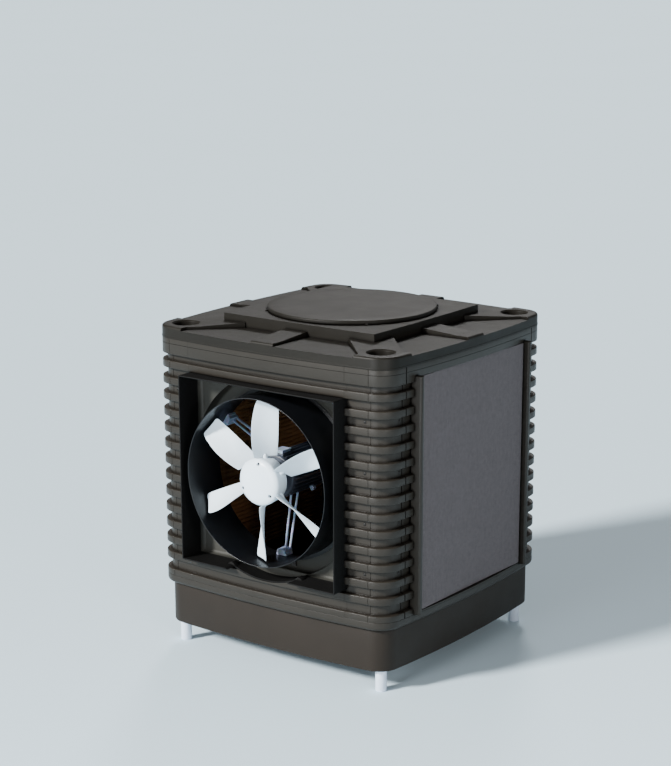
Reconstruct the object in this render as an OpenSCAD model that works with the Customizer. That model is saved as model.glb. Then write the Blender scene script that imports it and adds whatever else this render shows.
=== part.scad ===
// Evaporative cooler with a front axial fan: a moulded cabinet on a water tank.
// Millimetres. +X right, +Y rear, +Z up; the feet stand on z = 0 and the air leaves towards -Y.

/* [Cabinet] */
// Half the cabinet width, between the virtual corners
body_half = 500; // [490:1:520]
// How far each side bows outwards at its middle
body_bow = 27.9; // [24:0.1:32]
// Corner radius of the cabinet
body_corner = 85.3; // [80:0.1:95]
// Moulded wall thickness
wall = 3.2; // [2.6:0.1:3.6]
// Depth of the horizontal ribs
rib_depth = 18; // [14:1:19]
// Height of one rib face
rib_face = 27; // [22:1:30]
// Spacing of the ribs
rib_pitch = 59.2; // [58.6:0.1:59.8]
// Height of the centre of the top rib
rib_top = 1051; // [1049:1:1053]

/* [Tank and legs] */
// Length of leg below the tank
leg_clear = 81; // [60:1:90]
// Leg tube outside diameter
leg_d = 40; // [36:1:42]
// Leg tube wall
leg_wall = 2.4; // [1.8:0.1:3]
// Distance of a leg from the centre planes
leg_at = 439; // [434:1:442]
// Half the tank width, between the virtual corners
tank_half = 483; // [478:1:488]
// Tank wall thickness
tank_wall = 4; // [3:0.5:5]

/* [Air outlet] */
// Height of the fan axis
fan_z = 700; // [696:1:704]
// Half the outside width of the square outlet collar
collar_half = 337; // [333:1:339]
// Collar wall thickness
collar_wall = 4.5; // [3.5:0.5:6]
// Front face of the collar
collar_front = 572; // [560:1:573]
// Radius of the round pocket round the fan ring
pocket_r = 361; // [358:1:362]
// Outside radius of the fan ring
ring_r = 300; // [297:1:301]
// Fan ring wall
ring_wall = 3; // [2:0.5:4]

/* [Fan] */
// Number of blades
blade_count = 6; // [4:1:8]
// Blade tip radius
tip_r = 288; // [270:1:289]
// Blade pitch half way out
blade_pitch = 46.6; // [42:0.1:50]
// Twist of a blade, degrees for every 100 mm of radius
blade_twist = 17.7; // [12:0.1:19]
// Blade thickness
blade_t = 3; // [2.5:0.5:4]
// Hub radius
hub_r = 84; // [80:1:88]
// Motor shaft diameter
shaft_d = 24; // [20:1:26]

/* [Pads and filters] */
// Half the width of a side opening
opening_half = 335; // [330:1:336]
// Thickness of a cooling pad
pad_t = 100; // [60:5:100]
// Thickness of the dust cloth
cloth_t = 6; // [3:1:8]

/* [Hidden] */
$fn = 64;
tank_bow = 25;
tank_corner = 78;
tank_z = leg_clear;
tank_top = tank_z + 154;
band_z = tank_z + 185;      // bottom of the side panels
sill_z = band_z + 23;
head_z = tank_z + 1007;     // underside of the upper band
seam_z = tank_z + 1046;
body_top = tank_z + 1064;
lid_rim = tank_z + 1098;
lid_pad = tank_z + 1107.5;
plate_top = tank_z + 1140.6;
disc_top = tank_z + 1157;
rib_count = 13;
side_seam = 400;            // half width of a side panel
post_w = 20;
post_out = 540;             // outer face of the side posts
filter_back = 497;
filter_face = 519;
filter_z0 = sill_z - 17;
filter_z1 = tank_z + 1022;
pad_front = 486;
venturi_y = -458;           // back plate of the collar
floor_y = -408;             // annular floor round the fan ring
ring_front = -574;
rear_end = 574;             // how far the rear pipe fittings reach
motor_r = 80;
motor_y0 = -440;
motor_y1 = -215;
hub_y0 = -567;              // front of the hub's dome
hub_y1 = -486;
cup_r = 50;
cup_at = 422;
hub_screw_r = hub_r - 16;
hub_screw_turn = 5.5;       // angle of the first hub screw from the vertical
pump = [-210, 215];
pump_out = 28;              // height of the pump's outlet above the tank floor
float_at = [300, 205];
drain_at = [-300, 112];
disc_r = 304.5;
plate_half = 327;
face_tank = 500;            // clear of the tank's outer wall at the fittings
drain_y = 540;              // axis of the drain lever
riser_y = pump.y + 94;
pipe_z = 1122;
pipe_at = 435;
arm_angles = [-56, 56, 180];      // from +Z, clockwise seen from the front
foot_y = [-431, 44];        // front and length of an arm's foot
foot_in = 276;              // radius of its inner face
ring_in = ring_r - ring_wall - 0.8;   // a flat foot's outer face fits inside the ring
// each arm is two rods: [Y at the motor, Y at the foot]
rods = [[-366, -404.5], [-327, -378]];
rod_r = 4.5;
rod_in = motor_r - 4;       // radius where the rods start
rod_out = foot_in + 13;
knob_at = [135, -324];      // angle and Y of the knob on the motor
knob_r = 8;
terminal_y = [-438, 46];    // front and length of the motor's terminal block
blade_c = hub_y0 + 48.5;    // where the pitch axes of the blades cross the fan axis
blade_turn = 1.7;           // angle of the first blade from the vertical
blade_mid = 190;            // radius where the pitch is blade_pitch
blade_camber_r = 157;
chord_steps = 8;
box_at = [300, 1000];
screw_rows = [2, 5, 8, 11];

// ---- outline maths: four bowed sides and four tangent corner arcs ----
function arc_r(h, b) = (h * h + b * b) / (2 * b);
function corner_c(h, b, r) =
    let (k = arc_r(h, b), d = k - h - b) (sqrt(2 * pow(k - r, 2) - d * d) - d) / 2;
function side_ang(h, b, r) =
    let (k = arc_r(h, b), c = corner_c(h, b, r)) atan2(c, c + k - h - b);
function turn(pts, q) = [for (p = pts) [p.x * cos(q) - p.y * sin(q), p.x * sin(q) + p.y * cos(q)]];
function flip(pts) = [for (i = [len(pts) - 1:-1:0]) pts[i]];
// points at offset d along the side that faces +X, and round the corner after it
function side_pts(h, b, d, t0, t1, n) =
    [for (i = [0:n]) let (t = t0 + (t1 - t0) * i / n)
        [(arc_r(h, b) + d) * cos(t) + h + b - arc_r(h, b), (arc_r(h, b) + d) * sin(t)]];
function corner_pts(h, b, r, d, n = 12) =
    let (c = corner_c(h, b, r), a = side_ang(h, b, r))
    [for (i = [0:n]) let (t = a + (90 - 2 * a) * i / n) c * [1, 1] + (r + d) * [cos(t), sin(t)]];
function outline(h, b, r, d) =
    let (a = side_ang(h, b, r), q = concat(side_pts(h, b, d, -a * 0.9, a * 0.9, 9), corner_pts(h, b, r, d)))
    concat(q, turn(q, 90), turn(q, 180), turn(q, 270));
function at_x(x) = asin(x / arc_r(body_half, body_bow));
function face_y(x, d = 0) = // distance of the cabinet face from the centre at offset x
    sqrt(pow(arc_r(body_half, body_bow) + d, 2) - x * x) - arc_r(body_half, body_bow)
    + body_half + body_bow;
function tank_line(d) = outline(tank_half, tank_bow, tank_corner, d);
function body_line(d) = outline(body_half, body_bow, body_corner, d);
body_ang = side_ang(body_half, body_bow, body_corner);
function body_side(d, t0, t1, n) = side_pts(body_half, body_bow, d, t0, t1, n);
function body_corner_line(d, stub_a, stub_b) = concat(
    stub_a ? body_side(d, at_x(side_seam + 0.15), body_ang * 0.999, 1) : [],
    corner_pts(body_half, body_bow, body_corner, d),
    stub_b ? turn(body_side(d, -body_ang * 0.999, -at_x(side_seam + 0.15), 1), 90) : []);

module prism(pts, z0, z1) translate([0, 0, z0]) linear_extrude(z1 - z0) polygon(pts);

// a ring between two offsets of a full outline
module ring(outer, inner, z0, z1) difference() {
    prism(outer, z0, z1);
    prism(inner, z0 - 1, z1 + 1);
}

module y_cyl(r, y0, y1, x = 0, z = fan_z)
    translate([x, y0, z]) rotate([-90, 0, 0]) cylinder(r = r, h = y1 - y0);

module box(p, q) translate(p) cube(q - p);

module four_ways() for (q = [0:3]) rotate([0, 0, 90 * q]) children();

// places a part drawn on the right-hand (+X) side on the right, left or rear
module on_side(q) rotate([0, 0, q]) children();

// ---- moulded wall: a sunk skin with hollow ribs and bands standing out of it ----
// line(d) gives the wall's plan at offset d; shape 0 is a column, 1 the front, 2 a side jamb
function wall_line(shape, d, stubs) =
    shape == 0 ? body_corner_line(d, stubs[0], stubs[1])
    : shape == 1 ? turn(body_side(d, -body_ang + 0.003, body_ang - 0.003, 12), -90)
    : body_side(d, at_x(opening_half + post_w / 2), at_x(side_seam - 0.15), 1);
function rib_z(k) = rib_top - rib_pitch * k;

module wall_strip(shape, stubs, d0, d1, z0, z1)
    prism(concat(wall_line(shape, d1, stubs), flip(wall_line(shape, d0, stubs))), z0, z1);

module ribbed_wall(shape, stubs = [false, false]) {
    deep = -rib_depth - wall;
    difference() {
        union() {
            wall_strip(shape, stubs, deep, -rib_depth, band_z + 0.2, body_top);
            for (k = [0:rib_count - 1])
                wall_strip(shape, stubs, deep, 0, rib_z(k) - rib_face / 2, rib_z(k) + rib_face / 2);
            wall_strip(shape, stubs, deep, 0, band_z + 0.2, sill_z);
            wall_strip(shape, stubs, deep, 0, head_z, body_top);
        }
        // ribs and bands are hollow behind
        for (k = [0:rib_count - 1])
            wall_strip(shape, stubs, deep - 1, -wall, rib_z(k) - rib_face / 2 + wall,
                rib_z(k) + rib_face / 2 - wall);
        wall_strip(shape, stubs, deep - 1, -wall, band_z, sill_z - wall);
        wall_strip(shape, stubs, deep - 1, -wall, head_z + wall, body_top + 1);
        // parting line between the two upper bands
        wall_strip(shape, stubs, -1.2, 1, seam_z - 0.8, seam_z + 0.8);
    }
}

module column(stub_a, stub_b) color([0.25, 0.24, 0.22]) ribbed_wall(0, [stub_a, stub_b]);
module column_rear_right() column(true, true);
module column_rear_left() rotate([0, 0, 90]) column(true, true);
module column_front_left() rotate([0, 0, 180]) column(true, false);
module column_front_right() rotate([0, 0, -90]) column(false, true);

module front_panel() color([0.26, 0.25, 0.23]) difference() {
    ribbed_wall(1);
    box([-collar_half, -600, fan_z - collar_half], [collar_half, -400, fan_z + collar_half]);
    below_collar(300) y_cyl(pocket_r + collar_wall, -600, -400);
}

module duct_collar() {
    i = collar_half - collar_wall;
    color([0.12, 0.12, 0.12]) {
        difference() {
            box([-collar_half, -collar_front, fan_z - collar_half],
                [collar_half, venturi_y, fan_z + collar_half]);
            box([-i, -collar_front - 1, fan_z - i], [i, venturi_y + 1, fan_z + i]);
            below_collar(330) y_cyl(pocket_r + 0.5, -collar_front - 1, venturi_y + 1);
        }
        // the round pocket bulges below the square and reaches the front panel
        below_collar(i - 1) difference() {
            y_cyl(pocket_r + collar_wall - 0.3, -face_y(0) + 2, venturi_y);
            y_cyl(pocket_r, -face_y(0), venturi_y + 1);
        }
        // upright lips where the pocket leaves the square
        for (m = [0, 1]) mirror([m, 0, 0]) intersection() {
            difference() {
                y_cyl(pocket_r + collar_wall, -face_y(0) + 2, -500);
                y_cyl(pocket_r, -face_y(0), -499);
            }
            box([130, -600, fan_z - i - 1], [168, -400, fan_z - i + 12]);
        }
    }
}
module below_collar(h) intersection() {
    children();
    box([-200, -700, fan_z - 400], [200, -300, fan_z - h]);
}

module venturi_plate() color([0.16, 0.16, 0.16]) {
    difference() {
        box([-collar_half, venturi_y, fan_z - collar_half],
            [collar_half, venturi_y + 4, fan_z + collar_half]);
        y_cyl(pocket_r, venturi_y - 1, venturi_y + 5);
    }
    difference() {
        y_cyl(pocket_r + 3.5, venturi_y, floor_y + 3.5);
        y_cyl(pocket_r, venturi_y - 1, floor_y);
        y_cyl(ring_r + 0.2, floor_y - 1, floor_y + 4);
    }
}

module fan_ring() color([0.1, 0.1, 0.11]) difference() {
    union() {
        y_cyl(ring_r, ring_front, floor_y + 8);
        y_cyl(ring_r + 14, floor_y - 3, floor_y);
    }
    y_cyl(ring_r - ring_wall, ring_front - 1, floor_y + 9);
}

module ring_clips() color([0.2, 0.2, 0.2])
    for (a = [-98, -8, 82, 172]) translate([0, 0, fan_z]) rotate([0, a, 0]) {
        translate([ring_r + 6, floor_y - 9, -9]) cube([28, 6, 18]);
        translate([ring_r + 25, floor_y - 9, 0]) rotate([90, 0, 0]) cylinder(r = 4, h = 4);
    }

// ---- side panels, drawn on the right-hand side ----
module side_frame() {
    p = at_x(opening_half + post_w / 2);
    o = opening_half;
    deep = -rib_depth - wall;
    color([0.24, 0.23, 0.21]) {
        for (m = [0, 1]) mirror([0, m, 0]) ribbed_wall(2);
        // header and sill over and under the opening
        difference() {
            for (z = [[filter_z1, body_top], [band_z + 0.2, filter_z0]])
                prism(concat(body_side(0, -p, p, 12), flip(body_side(deep, -p, p, 12))), z[0], z[1]);
            prism(concat(body_side(-wall, -p, p, 12), flip(body_side(deep - 1, -p, p, 12))),
                filter_z1 + 5 + wall, body_top + 1);
            prism(concat(body_side(2, -p, p, 12), flip(body_side(-1.2, -p, p, 12))),
                seam_z - 0.8, seam_z + 0.8);
        }
        // tunnel that holds the pad, with a rim behind the filter
        difference() {
            box([pad_front - pad_t - 4, -o - 4.5, filter_z0 - 5],
                [508, o + 4.5, filter_z1 + 5]);
            box([pad_front - pad_t - 5, -o, filter_z0], [520, o, filter_z1]);
        }
        for (m = [0, 1]) mirror([0, m, 0])
            prism(post_section(), filter_z0 - 5, filter_z1 + 5);
    }
}
// plan of a post beside the opening, with a half-round outer edge
function post_section() = let (r = post_w / 2)
    concat([[500, opening_half]], [for (i = [0:8]) let (t = -90 + 22.5 * i)
        [post_out - r + r * cos(t), opening_half + r + r * sin(t)]], [[500, opening_half + post_w]]);
module side_frame_right() on_side(0) side_frame();
module side_frame_rear() on_side(90) side_frame();
module side_frame_left() on_side(180) side_frame();

// ---- dust filters: a bar frame with the cloth across its face ----
module filter_frame() {
    w = opening_half - 1;
    z0 = filter_z0 + 1;
    z1 = filter_z1 - 1;
    color([0.13, 0.13, 0.14]) difference() {
        box([filter_back, -w, z0], [filter_face - cloth_t, w, z1]);
        for (i = [0:2], j = [0:3])
            box([filter_back - 1, -w + 16 + i * (2 * w - 20) / 3, z0 + 16 + j * (z1 - z0 - 20) / 4],
                [filter_face, -w + 16 + (i + 1) * (2 * w - 20) / 3 - 12,
                 z0 + 16 + (j + 1) * (z1 - z0 - 20) / 4 - 12]);
    }
}
module filter_cloth() color([0.33, 0.33, 0.37])
    box([filter_face - cloth_t, -opening_half + 2, filter_z0 + 2],
        [filter_face, opening_half - 2, filter_z1 - 2]);
module filter_frame_right() on_side(0) filter_frame();
module filter_frame_rear() on_side(90) filter_frame();
module filter_frame_left() on_side(180) filter_frame();
module dust_filter_right() on_side(0) filter_cloth();
module dust_filter_rear() on_side(90) filter_cloth();
module dust_filter_left() on_side(180) filter_cloth();

// ---- cooling pads ----
module pad() color([0.3, 0.2, 0.12]) difference() {
    box([pad_front - pad_t, -opening_half + 1, filter_z0], [pad_front, opening_half - 1, filter_z1 - 2]);
    for (z = [filter_z0 + 30:40:filter_z1 - 30])
        box([pad_front - pad_t - 1, -opening_half, z], [pad_front - pad_t + 3, opening_half, z + 12]);
}
module cooling_pad_right() on_side(0) pad();
module cooling_pad_rear() on_side(90) pad();
module cooling_pad_left() on_side(180) pad();

// ---- tank, legs and frames ----
module base_tank() color([0.27, 0.26, 0.24]) difference() {
    union() {
        difference() {
            union() {
                prism(tank_line(-3), tank_z, tank_z + 4);
                prism(tank_line(0), tank_z + 3, tank_top);
            }
            prism(tank_line(-tank_wall), tank_z + 5, tank_top + 1);
        }
        ring(tank_line(-tank_wall / 2), tank_line(-14), tank_top - 4, tank_top);
        for (x = [-1, 1], y = [-1, 1]) translate([x * leg_at, y * leg_at, tank_z])
            cylinder(d = leg_d + 8, h = 104);
    }
    for (x = [-1, 1], y = [-1, 1]) translate([x * leg_at, y * leg_at, tank_z - 1])
        cylinder(d = leg_d + 0.6, h = 101);
    translate([0, 380, tank_z - 1]) cylinder(d = 32.6, h = 10);
    y_cyl(13.3, 400, 560, float_at.x, float_at.y);
    y_cyl(17.3, 400, 560, drain_at.x, drain_at.y);
}

module corner_legs() color([0.8, 0.84, 0.9])
    for (x = [-1, 1], y = [-1, 1]) translate([x * leg_at, y * leg_at, 0]) difference() {
        cylinder(d = leg_d, h = tank_z + 100);
        translate([0, 0, 3]) cylinder(d = leg_d - 2 * leg_wall, h = tank_z + 100);
    }

module bottom_frame() color([0.25, 0.24, 0.22]) difference() {
    union() {
        prism(body_line(-16), tank_top, tank_top + 3);
        prism(body_line(-9), tank_top + 2, tank_top + 6);
        prism(body_line(-3), tank_top + 5, tank_top + 11);
        prism(body_line(0), tank_top + 10, band_z - 1);
        prism(body_line(-1.2), band_z - 2, band_z);
    }
    prism(body_line(-36), tank_top - 1, band_z + 1);
    prism(body_line(-12), tank_top + 6, band_z - 4);
    prism(body_line(-wall - 3), tank_top + 10, band_z - 4);
}

module top_frame() color([0.2, 0.2, 0.19]) {
    ring(body_line(-36), body_line(-40), 1112, 1142);
    ring(body_line(-wall - 0.3), body_line(-39), 1138, 1142);
}

// ---- lid ----
module lid() {
    color([0.27, 0.27, 0.25]) difference() {
        union() {
            ring(body_line(0), body_line(-wall), body_top, lid_rim);
            ring(body_line(1), body_line(-wall / 2), body_top, body_top + 5);
            hull() {
                prism(body_line(0), lid_rim - wall, lid_pad - 8);
                prism(body_line(-2.5), lid_pad - 3, lid_pad - 2.5);
                prism(body_line(-8), lid_pad - 0.1, lid_pad);
            }
            // straps and corner ramps climb to the plate
            four_ways() translate([0, 48, 0]) rotate([90, 0, 0]) linear_extrude(96) polygon([
                [plate_half - 5, lid_pad - 3], [472, lid_pad - 3], [472, lid_pad + 0.3],
                [plate_half - 5, lid_pad + 10]]);
            intersection() {
                four_ways() rotate([0, 0, 45]) translate([0, 140, 0]) rotate([90, 0, 0])
                    linear_extrude(280) polygon([[370, lid_pad - 3], [560, lid_pad - 3],
                        [560, lid_pad + 0.3], [462, lid_pad + 8], [370, lid_pad + 9]]);
                translate([0, 0, lid_pad - 4]) linear_extrude(30) corner_plan();
            }
            translate([0, 0, lid_rim]) linear_extrude(plate_top - lid_rim) polygon(plate_pts(0));
            for (x = [-1, 1], y = [-1, 1]) translate([x * cup_at, y * cup_at, body_top + 9])
                cylinder(r = cup_r + 3, h = 30);
        }
        // sunk panels between straps and ramps
        translate([0, 0, lid_rim]) linear_extrude(60) pocket_plan();
        translate([0, 0, lid_rim - wall - 1]) linear_extrude(plate_top - lid_rim)
            polygon(plate_pts(-4));
        for (x = [-1, 1], y = [-1, 1]) translate([x * cup_at, y * cup_at, 0]) {
            translate([0, 0, lid_pad - 31]) cylinder(r = cup_r - 4, h = 60);
            translate([0, 0, lid_pad - 4]) cylinder(r1 = cup_r - 4, r2 = cup_r + 1, h = 5);
            translate([0, 0, body_top]) cylinder(r = 21, h = 40);
        }
        translate([0, 0, plate_top - 4]) difference() {
            cylinder(r = disc_r + 4, h = 10);
            translate([0, 0, -1]) cylinder(r = disc_r - 8, h = 12);
        }
    }
}
function plate_pts(d) = [for (q = [0:3], s = [0:5])
    let (t = -1 + 2 * s / 6, x = plate_half + d + 5 * (1 - t * t), y = t * (plate_half + d))
    [x * cos(90 * q) - y * sin(90 * q), x * sin(90 * q) + y * cos(90 * q)]];
module corner_plan() four_ways()
    polygon([[225, 310], [310, 310], [310, 225], [334, 225], [472, 365], [365, 472], [225, 334]]);
module pocket_plan() four_ways() for (m = [0, 1]) mirror([0, m])
    polygon([[plate_half + 1.6, 48], [600, 48], [600, 372], [482, 372], [334, 225],
        [plate_half + 1.6, 225]]);

module lid_disc() color([0.28, 0.28, 0.26]) translate([0, 0, plate_top])
    rotate_extrude($fn = 128) polygon([
        [0, 0], [disc_r - 8.3, 0], [disc_r - 8.3, 2], [disc_r, 2.5], [disc_r, 10.5],
        [disc_r - 2, 14], [disc_r - 8, disc_top - plate_top - 0.8],
        [disc_r - 40, disc_top - plate_top], [0, disc_top - plate_top]]);

// ---- fan ----
module fan_hub() color([0.85, 0.9, 0.95]) difference() {
    translate([0, 0, fan_z]) rotate([90, 0, 0]) rotate_extrude($fn = 96) polygon([
        [0, -hub_y1], [hub_r - 14, -hub_y1], [hub_r - 8, -hub_y1 + 3], [hub_r - 5, -hub_y1 + 10],
        [hub_r, -hub_y0 - 28], [hub_r, -hub_y0 - 22], [hub_r - 2, -hub_y0 - 15],
        [hub_r - 7, -hub_y0 - 10], [hub_r - 15, -hub_y0 - 6], [hub_r - 30, -hub_y0 - 2.6],
        [hub_r - 54, -hub_y0 - 0.6], [0, -hub_y0]]);
    y_cyl(shaft_d / 2 + 0.02, blade_c - 16, hub_y1 + 1);
    at_hub_screws() rotate([90, 0, 0]) cylinder(r = 6, h = 20);
}
module hub_screws() color([0.6, 0.62, 0.65])
    at_hub_screws() rotate([90, 0, 0]) cylinder(r = 5, h = 4);
// three screws sunk in seats round the dome
module at_hub_screws() for (i = [0:2]) translate([0, 0, fan_z])
    rotate([0, hub_screw_turn + 120 * i, 0]) translate([0, hub_y0 + 14, hub_screw_r]) children();

// a blade is drawn upright on its pitch axis, at stations of [radius, front edge, rear edge]
function blade_stations() = [[hub_r + 2, -45, 45], [110, -49, 45], [130, -50.5, 45],
    [150, -51, 45], [170, -50.5, 45], [blade_mid, -49.5, 45], [210, -47.2, 45], [230, -44, 45],
    [tip_r - 42, -40.5, 45], [tip_r - 26, -37, 45], [tip_r - 11, -32.5, 44.6],
    [tip_r - 4, -29, 42.5], [tip_r - 1, -26, 39], [tip_r, -23, 35.5]];
function pitch_at(r) = blade_pitch - blade_twist * (r - blade_mid) / 100;
function half_t(k) = blade_t / 2 * (k == 0 || k == chord_steps ? 0.45 : 1);
// the outline of one station, up one face and back down the other
function station(s) = let (q = pitch_at(s[0]))
    [for (f = [1, -1], j = [0:chord_steps])
        let (k = f > 0 ? j : chord_steps - j, x = s[1] + (s[2] - s[1]) * k / chord_steps,
            y = -x * x / (2 * blade_camber_r) + f * half_t(k))
        [x * cos(q) - y * sin(q), x * sin(q) + y * cos(q), s[0]]];

module blade(i) {
    stations = blade_stations();
    last = len(stations) - 1;
    around = 2 * (chord_steps + 1);
    points = [for (s = stations) each station(s)];
    walls = [for (j = [0:last - 1], k = [0:around - 1])
        let (a = j * around + k, b = j * around + (k + 1) % around)
        each [[a, b + around, b], [a, a + around, b + around]]];
    ends = [[for (k = [0:around - 1]) k], [for (k = [around - 1:-1:0]) last * around + k]];
    color([0.87, 0.92, 0.97]) at_blade(i) polyhedron(points, concat(walls, ends));
}
module at_blade(i) translate([0, 0, fan_z])
    rotate([0, 360 / blade_count * i + blade_turn, 0]) translate([0, blade_c, 0]) children();
module fan_blade_1() blade(0);
module fan_blade_2() blade(1);
module fan_blade_3() blade(2);
module fan_blade_4() blade(3);
module fan_blade_5() blade(4);
module fan_blade_6() blade(5);
// each blade root stands between the halves of a conical boss
module blade_clamps() color([0.83, 0.87, 0.92]) difference() {
    for (i = [0:blade_count - 1]) at_blade(i) difference() {
        translate([0, 0, hub_r - 6]) cylinder(r1 = 11, r2 = 5, h = 19);
        rotate([0, 0, pitch_at(hub_r + 8)])
            translate([-80, -blade_t / 2 - 0.9, 0]) cube([160, blade_t + 1.8, 160]);
    }
    y_cyl(hub_r + 0.1, hub_y0, hub_y1);
}
module motor_shaft() color([0.7, 0.72, 0.75]) y_cyl(shaft_d / 2, blade_c - 12, motor_y1 + 12);

// ---- motor and its arms ----
module motor_body() color([0.16, 0.18, 0.22]) difference() {
    union() {
        y_cyl(motor_r - 10, motor_y0, motor_y1);
        for (i = [0:27]) translate([0, motor_y0 + 6, fan_z]) rotate([0, i * 360 / 28, 0])
            translate([-1.5, 0, 40]) cube([3, motor_y1 - motor_y0 - 12, motor_r - 40]);
        for (a = arm_angles) turn(a) translate([-15, rods[0][0] - 12, 40])
            cube([30, rods[1][0] - rods[0][0] + 24, motor_r - 39]);
        turn(knob_at[0]) translate([0, knob_at[1], 40]) cylinder(r = knob_r + 1, h = motor_r - 40);
        box([-20, motor_y0, fan_z + 40], [20, terminal_y[0] + terminal_y[1] + 4, fan_z + motor_r]);
    }
    y_cyl(shaft_d / 2 + 3, motor_y0 - 1, motor_y1 + 1);
    at_rods() translate([0, 0, -0.5]) cylinder(r = rod_r + 0.02, h = 40);
}
module motor_bell_front() color([0.17, 0.19, 0.23]) difference() {
    union() {
        y_cyl(motor_r - 6, motor_y0 - 14, motor_y0);
        y_cyl(36, motor_y0 - 24, motor_y0 - 10);
    }
    y_cyl(shaft_d / 2 + 0.05, motor_y0 - 30, motor_y0 + 1);
}
module motor_bell_rear() color([0.17, 0.19, 0.23]) difference() {
    union() {
        y_cyl(motor_r - 6, motor_y1, motor_y1 + 16);
        y_cyl(34, motor_y1 + 12, motor_y1 + 26);
    }
    y_cyl(shaft_d / 2 + 0.05, motor_y1 - 1, motor_y1 + 13);
}
// a lobed knob on a short neck
module motor_knob() color([0.5, 0.56, 0.64])
    turn(knob_at[0]) translate([0, knob_at[1], motor_r + 0.05]) {
        cylinder(r = knob_r, h = 3);
        cylinder(r = knob_r / 2, h = 8);
        translate([0, 0, 6]) linear_extrude(9) polygon([for (i = [0:59])
            let (a = 6 * i, r = knob_r + 1 + 2 * cos(5 * a)) [r * cos(a), r * sin(a)]]);
    }
module motor_terminal() color([0.5, 0.56, 0.64]) {
    y = terminal_y[0];
    box([-17, y, fan_z + motor_r + 0.05], [17, y + terminal_y[1], fan_z + motor_r + 8]);
    box([-19, y - 2, fan_z + motor_r + 8], [19, y + terminal_y[1] + 2, fan_z + motor_r + 11]);
}
module turn(a) translate([0, 0, fan_z]) rotate([0, a, 0]) children();
module at_rods() for (a = arm_angles, y = rods)
    turn(a) translate([0, y[0], rod_in])
        rotate([-atan2(y[1] - y[0], rod_out - rod_in), 0, 0]) children();
module motor_arms() color([0.6, 0.66, 0.75])
    at_rods() cylinder(r = rod_r, h = norm([rod_out - rod_in, rods[0][1] - rods[0][0]]) - 1);
module arm_feet() color([0.5, 0.55, 0.64]) difference() {
    for (a = arm_angles) turn(a) {
        translate([-17, foot_y[0], foot_in]) cube([34, foot_y[1], 14]);
        translate([-21, foot_y[0] + 3, foot_in + 12]) cube([42, foot_y[1] - 6, ring_in - foot_in - 12]);
    }
    at_rods() cylinder(r = rod_r + 0.02, h = rod_out - rod_in + 12);
}
// screw heads on the outside of the ring, one to each foot
module arm_bolts() color([0.7, 0.72, 0.75])
    for (a = arm_angles) turn(a) translate([0, foot_y[0] + 10, ring_r + 0.3])
        cylinder(r = 6, h = 4, $fn = 6);

// ---- electrics ----
module junction_box() color([0.3, 0.31, 0.33]) difference() {
    box([box_at.x - 27, venturi_y + 4, box_at.y - 27], [box_at.x + 27, venturi_y + 44, box_at.y + 27]);
    box([box_at.x - 24, venturi_y + 7, box_at.y - 24], [box_at.x + 24, venturi_y + 45, box_at.y + 24]);
}
module junction_cover() color([0.33, 0.34, 0.36]) {
    box([box_at.x - 28, venturi_y + 44, box_at.y - 28], [box_at.x + 28, venturi_y + 47, box_at.y + 28]);
    for (x = [-21, 21], z = [-21, 21])
        y_cyl(3, venturi_y + 46, venturi_y + 49, box_at.x + x, box_at.y + z);
}
// ---- water side ----
module water_pump() color([0.14, 0.15, 0.17]) translate([pump.x, pump.y, tank_z + 5]) {
    difference() {
        union() {
            translate([0, 0, 14]) cylinder(r = 52, h = 42);
            translate([0, 0, 50]) cylinder(r = 44, h = 78);
            translate([0, 30, pump_out]) rotate([-90, 0, 0]) cylinder(r = 13, h = 44);
        }
        translate([0, 0, 13]) cylinder(r = 40, h = 35);
        translate([0, 20, pump_out]) rotate([-90, 0, 0]) cylinder(r = 9, h = 60);
        translate([0, 0, 40]) cylinder(r = 4.05, h = 50);
    }
}
module pump_strainer() color([0.1, 0.1, 0.11]) translate([pump.x, pump.y, tank_z + 5]) difference() {
    cylinder(r = 56, h = 14);
    translate([0, 0, 2]) cylinder(r = 52, h = 13);
    for (a = [0:17]) rotate([0, 0, a * 20]) translate([48, -3, 4]) cube([12, 6, 7]);
}
module pump_impeller() color([0.75, 0.75, 0.7]) translate([pump.x, pump.y, tank_z + 5]) {
    translate([0, 0, 20]) cylinder(r = 34, h = 3);
    translate([0, 0, 18]) cylinder(r = 8, h = 24);
    translate([0, 0, 18]) cylinder(r = 4, h = 68);
    for (a = [0:5]) rotate([0, 0, 60 * a]) translate([6, -1.5, 22]) cube([27, 3, 16]);
}
module riser_hose() color([0.12, 0.12, 0.13]) {
    z0 = tank_z + 5 + pump_out;
    translate([pump.x, riser_y - 20, z0 + 20]) rotate([90, 0, 90])
        rotate([0, 0, -90]) rotate_extrude(angle = 90) translate([20, 0]) circle(r = 12);
    translate([pump.x, riser_y, z0 + 20]) cylinder(r = 12, h = pipe_z - z0 - 50);
}
module distributor_pipe() color([0.75, 0.78, 0.82]) {
    translate([pump.x, riser_y, pipe_z - 32]) difference() {
        cylinder(r = 15, h = 44);
        translate([0, 0, -1]) cylinder(r = 12.05, h = 24);
    }
    y_cyl(11, riser_y, pipe_at, pump.x, pipe_z);
    translate([-pipe_at, pipe_at, pipe_z]) rotate([0, 90, 0]) cylinder(r = 11, h = 2 * pipe_at);
    for (s = [-1, 1]) {
        y_cyl(11, -320, pipe_at, s * pipe_at, pipe_z);
        y_cyl(13.5, -326, -306, s * pipe_at, pipe_z);
        translate([s * pipe_at, pipe_at, pipe_z]) sphere(r = 14);
    }
}
module water_inlet() color([0.78, 0.65, 0.35]) difference() {
    union() {
        y_cyl(13, 470, rear_end - 20, float_at.x, float_at.y);
        translate([float_at.x, face_tank + 0.5, float_at.y]) rotate([-90, 30, 0])
            cylinder(r = 20, h = 12, $fn = 6);
        y_cyl(20, face_tank - 18, face_tank - 8, float_at.x, float_at.y);
    }
    y_cyl(7.5, 469, rear_end, float_at.x, float_at.y);
}
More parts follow.
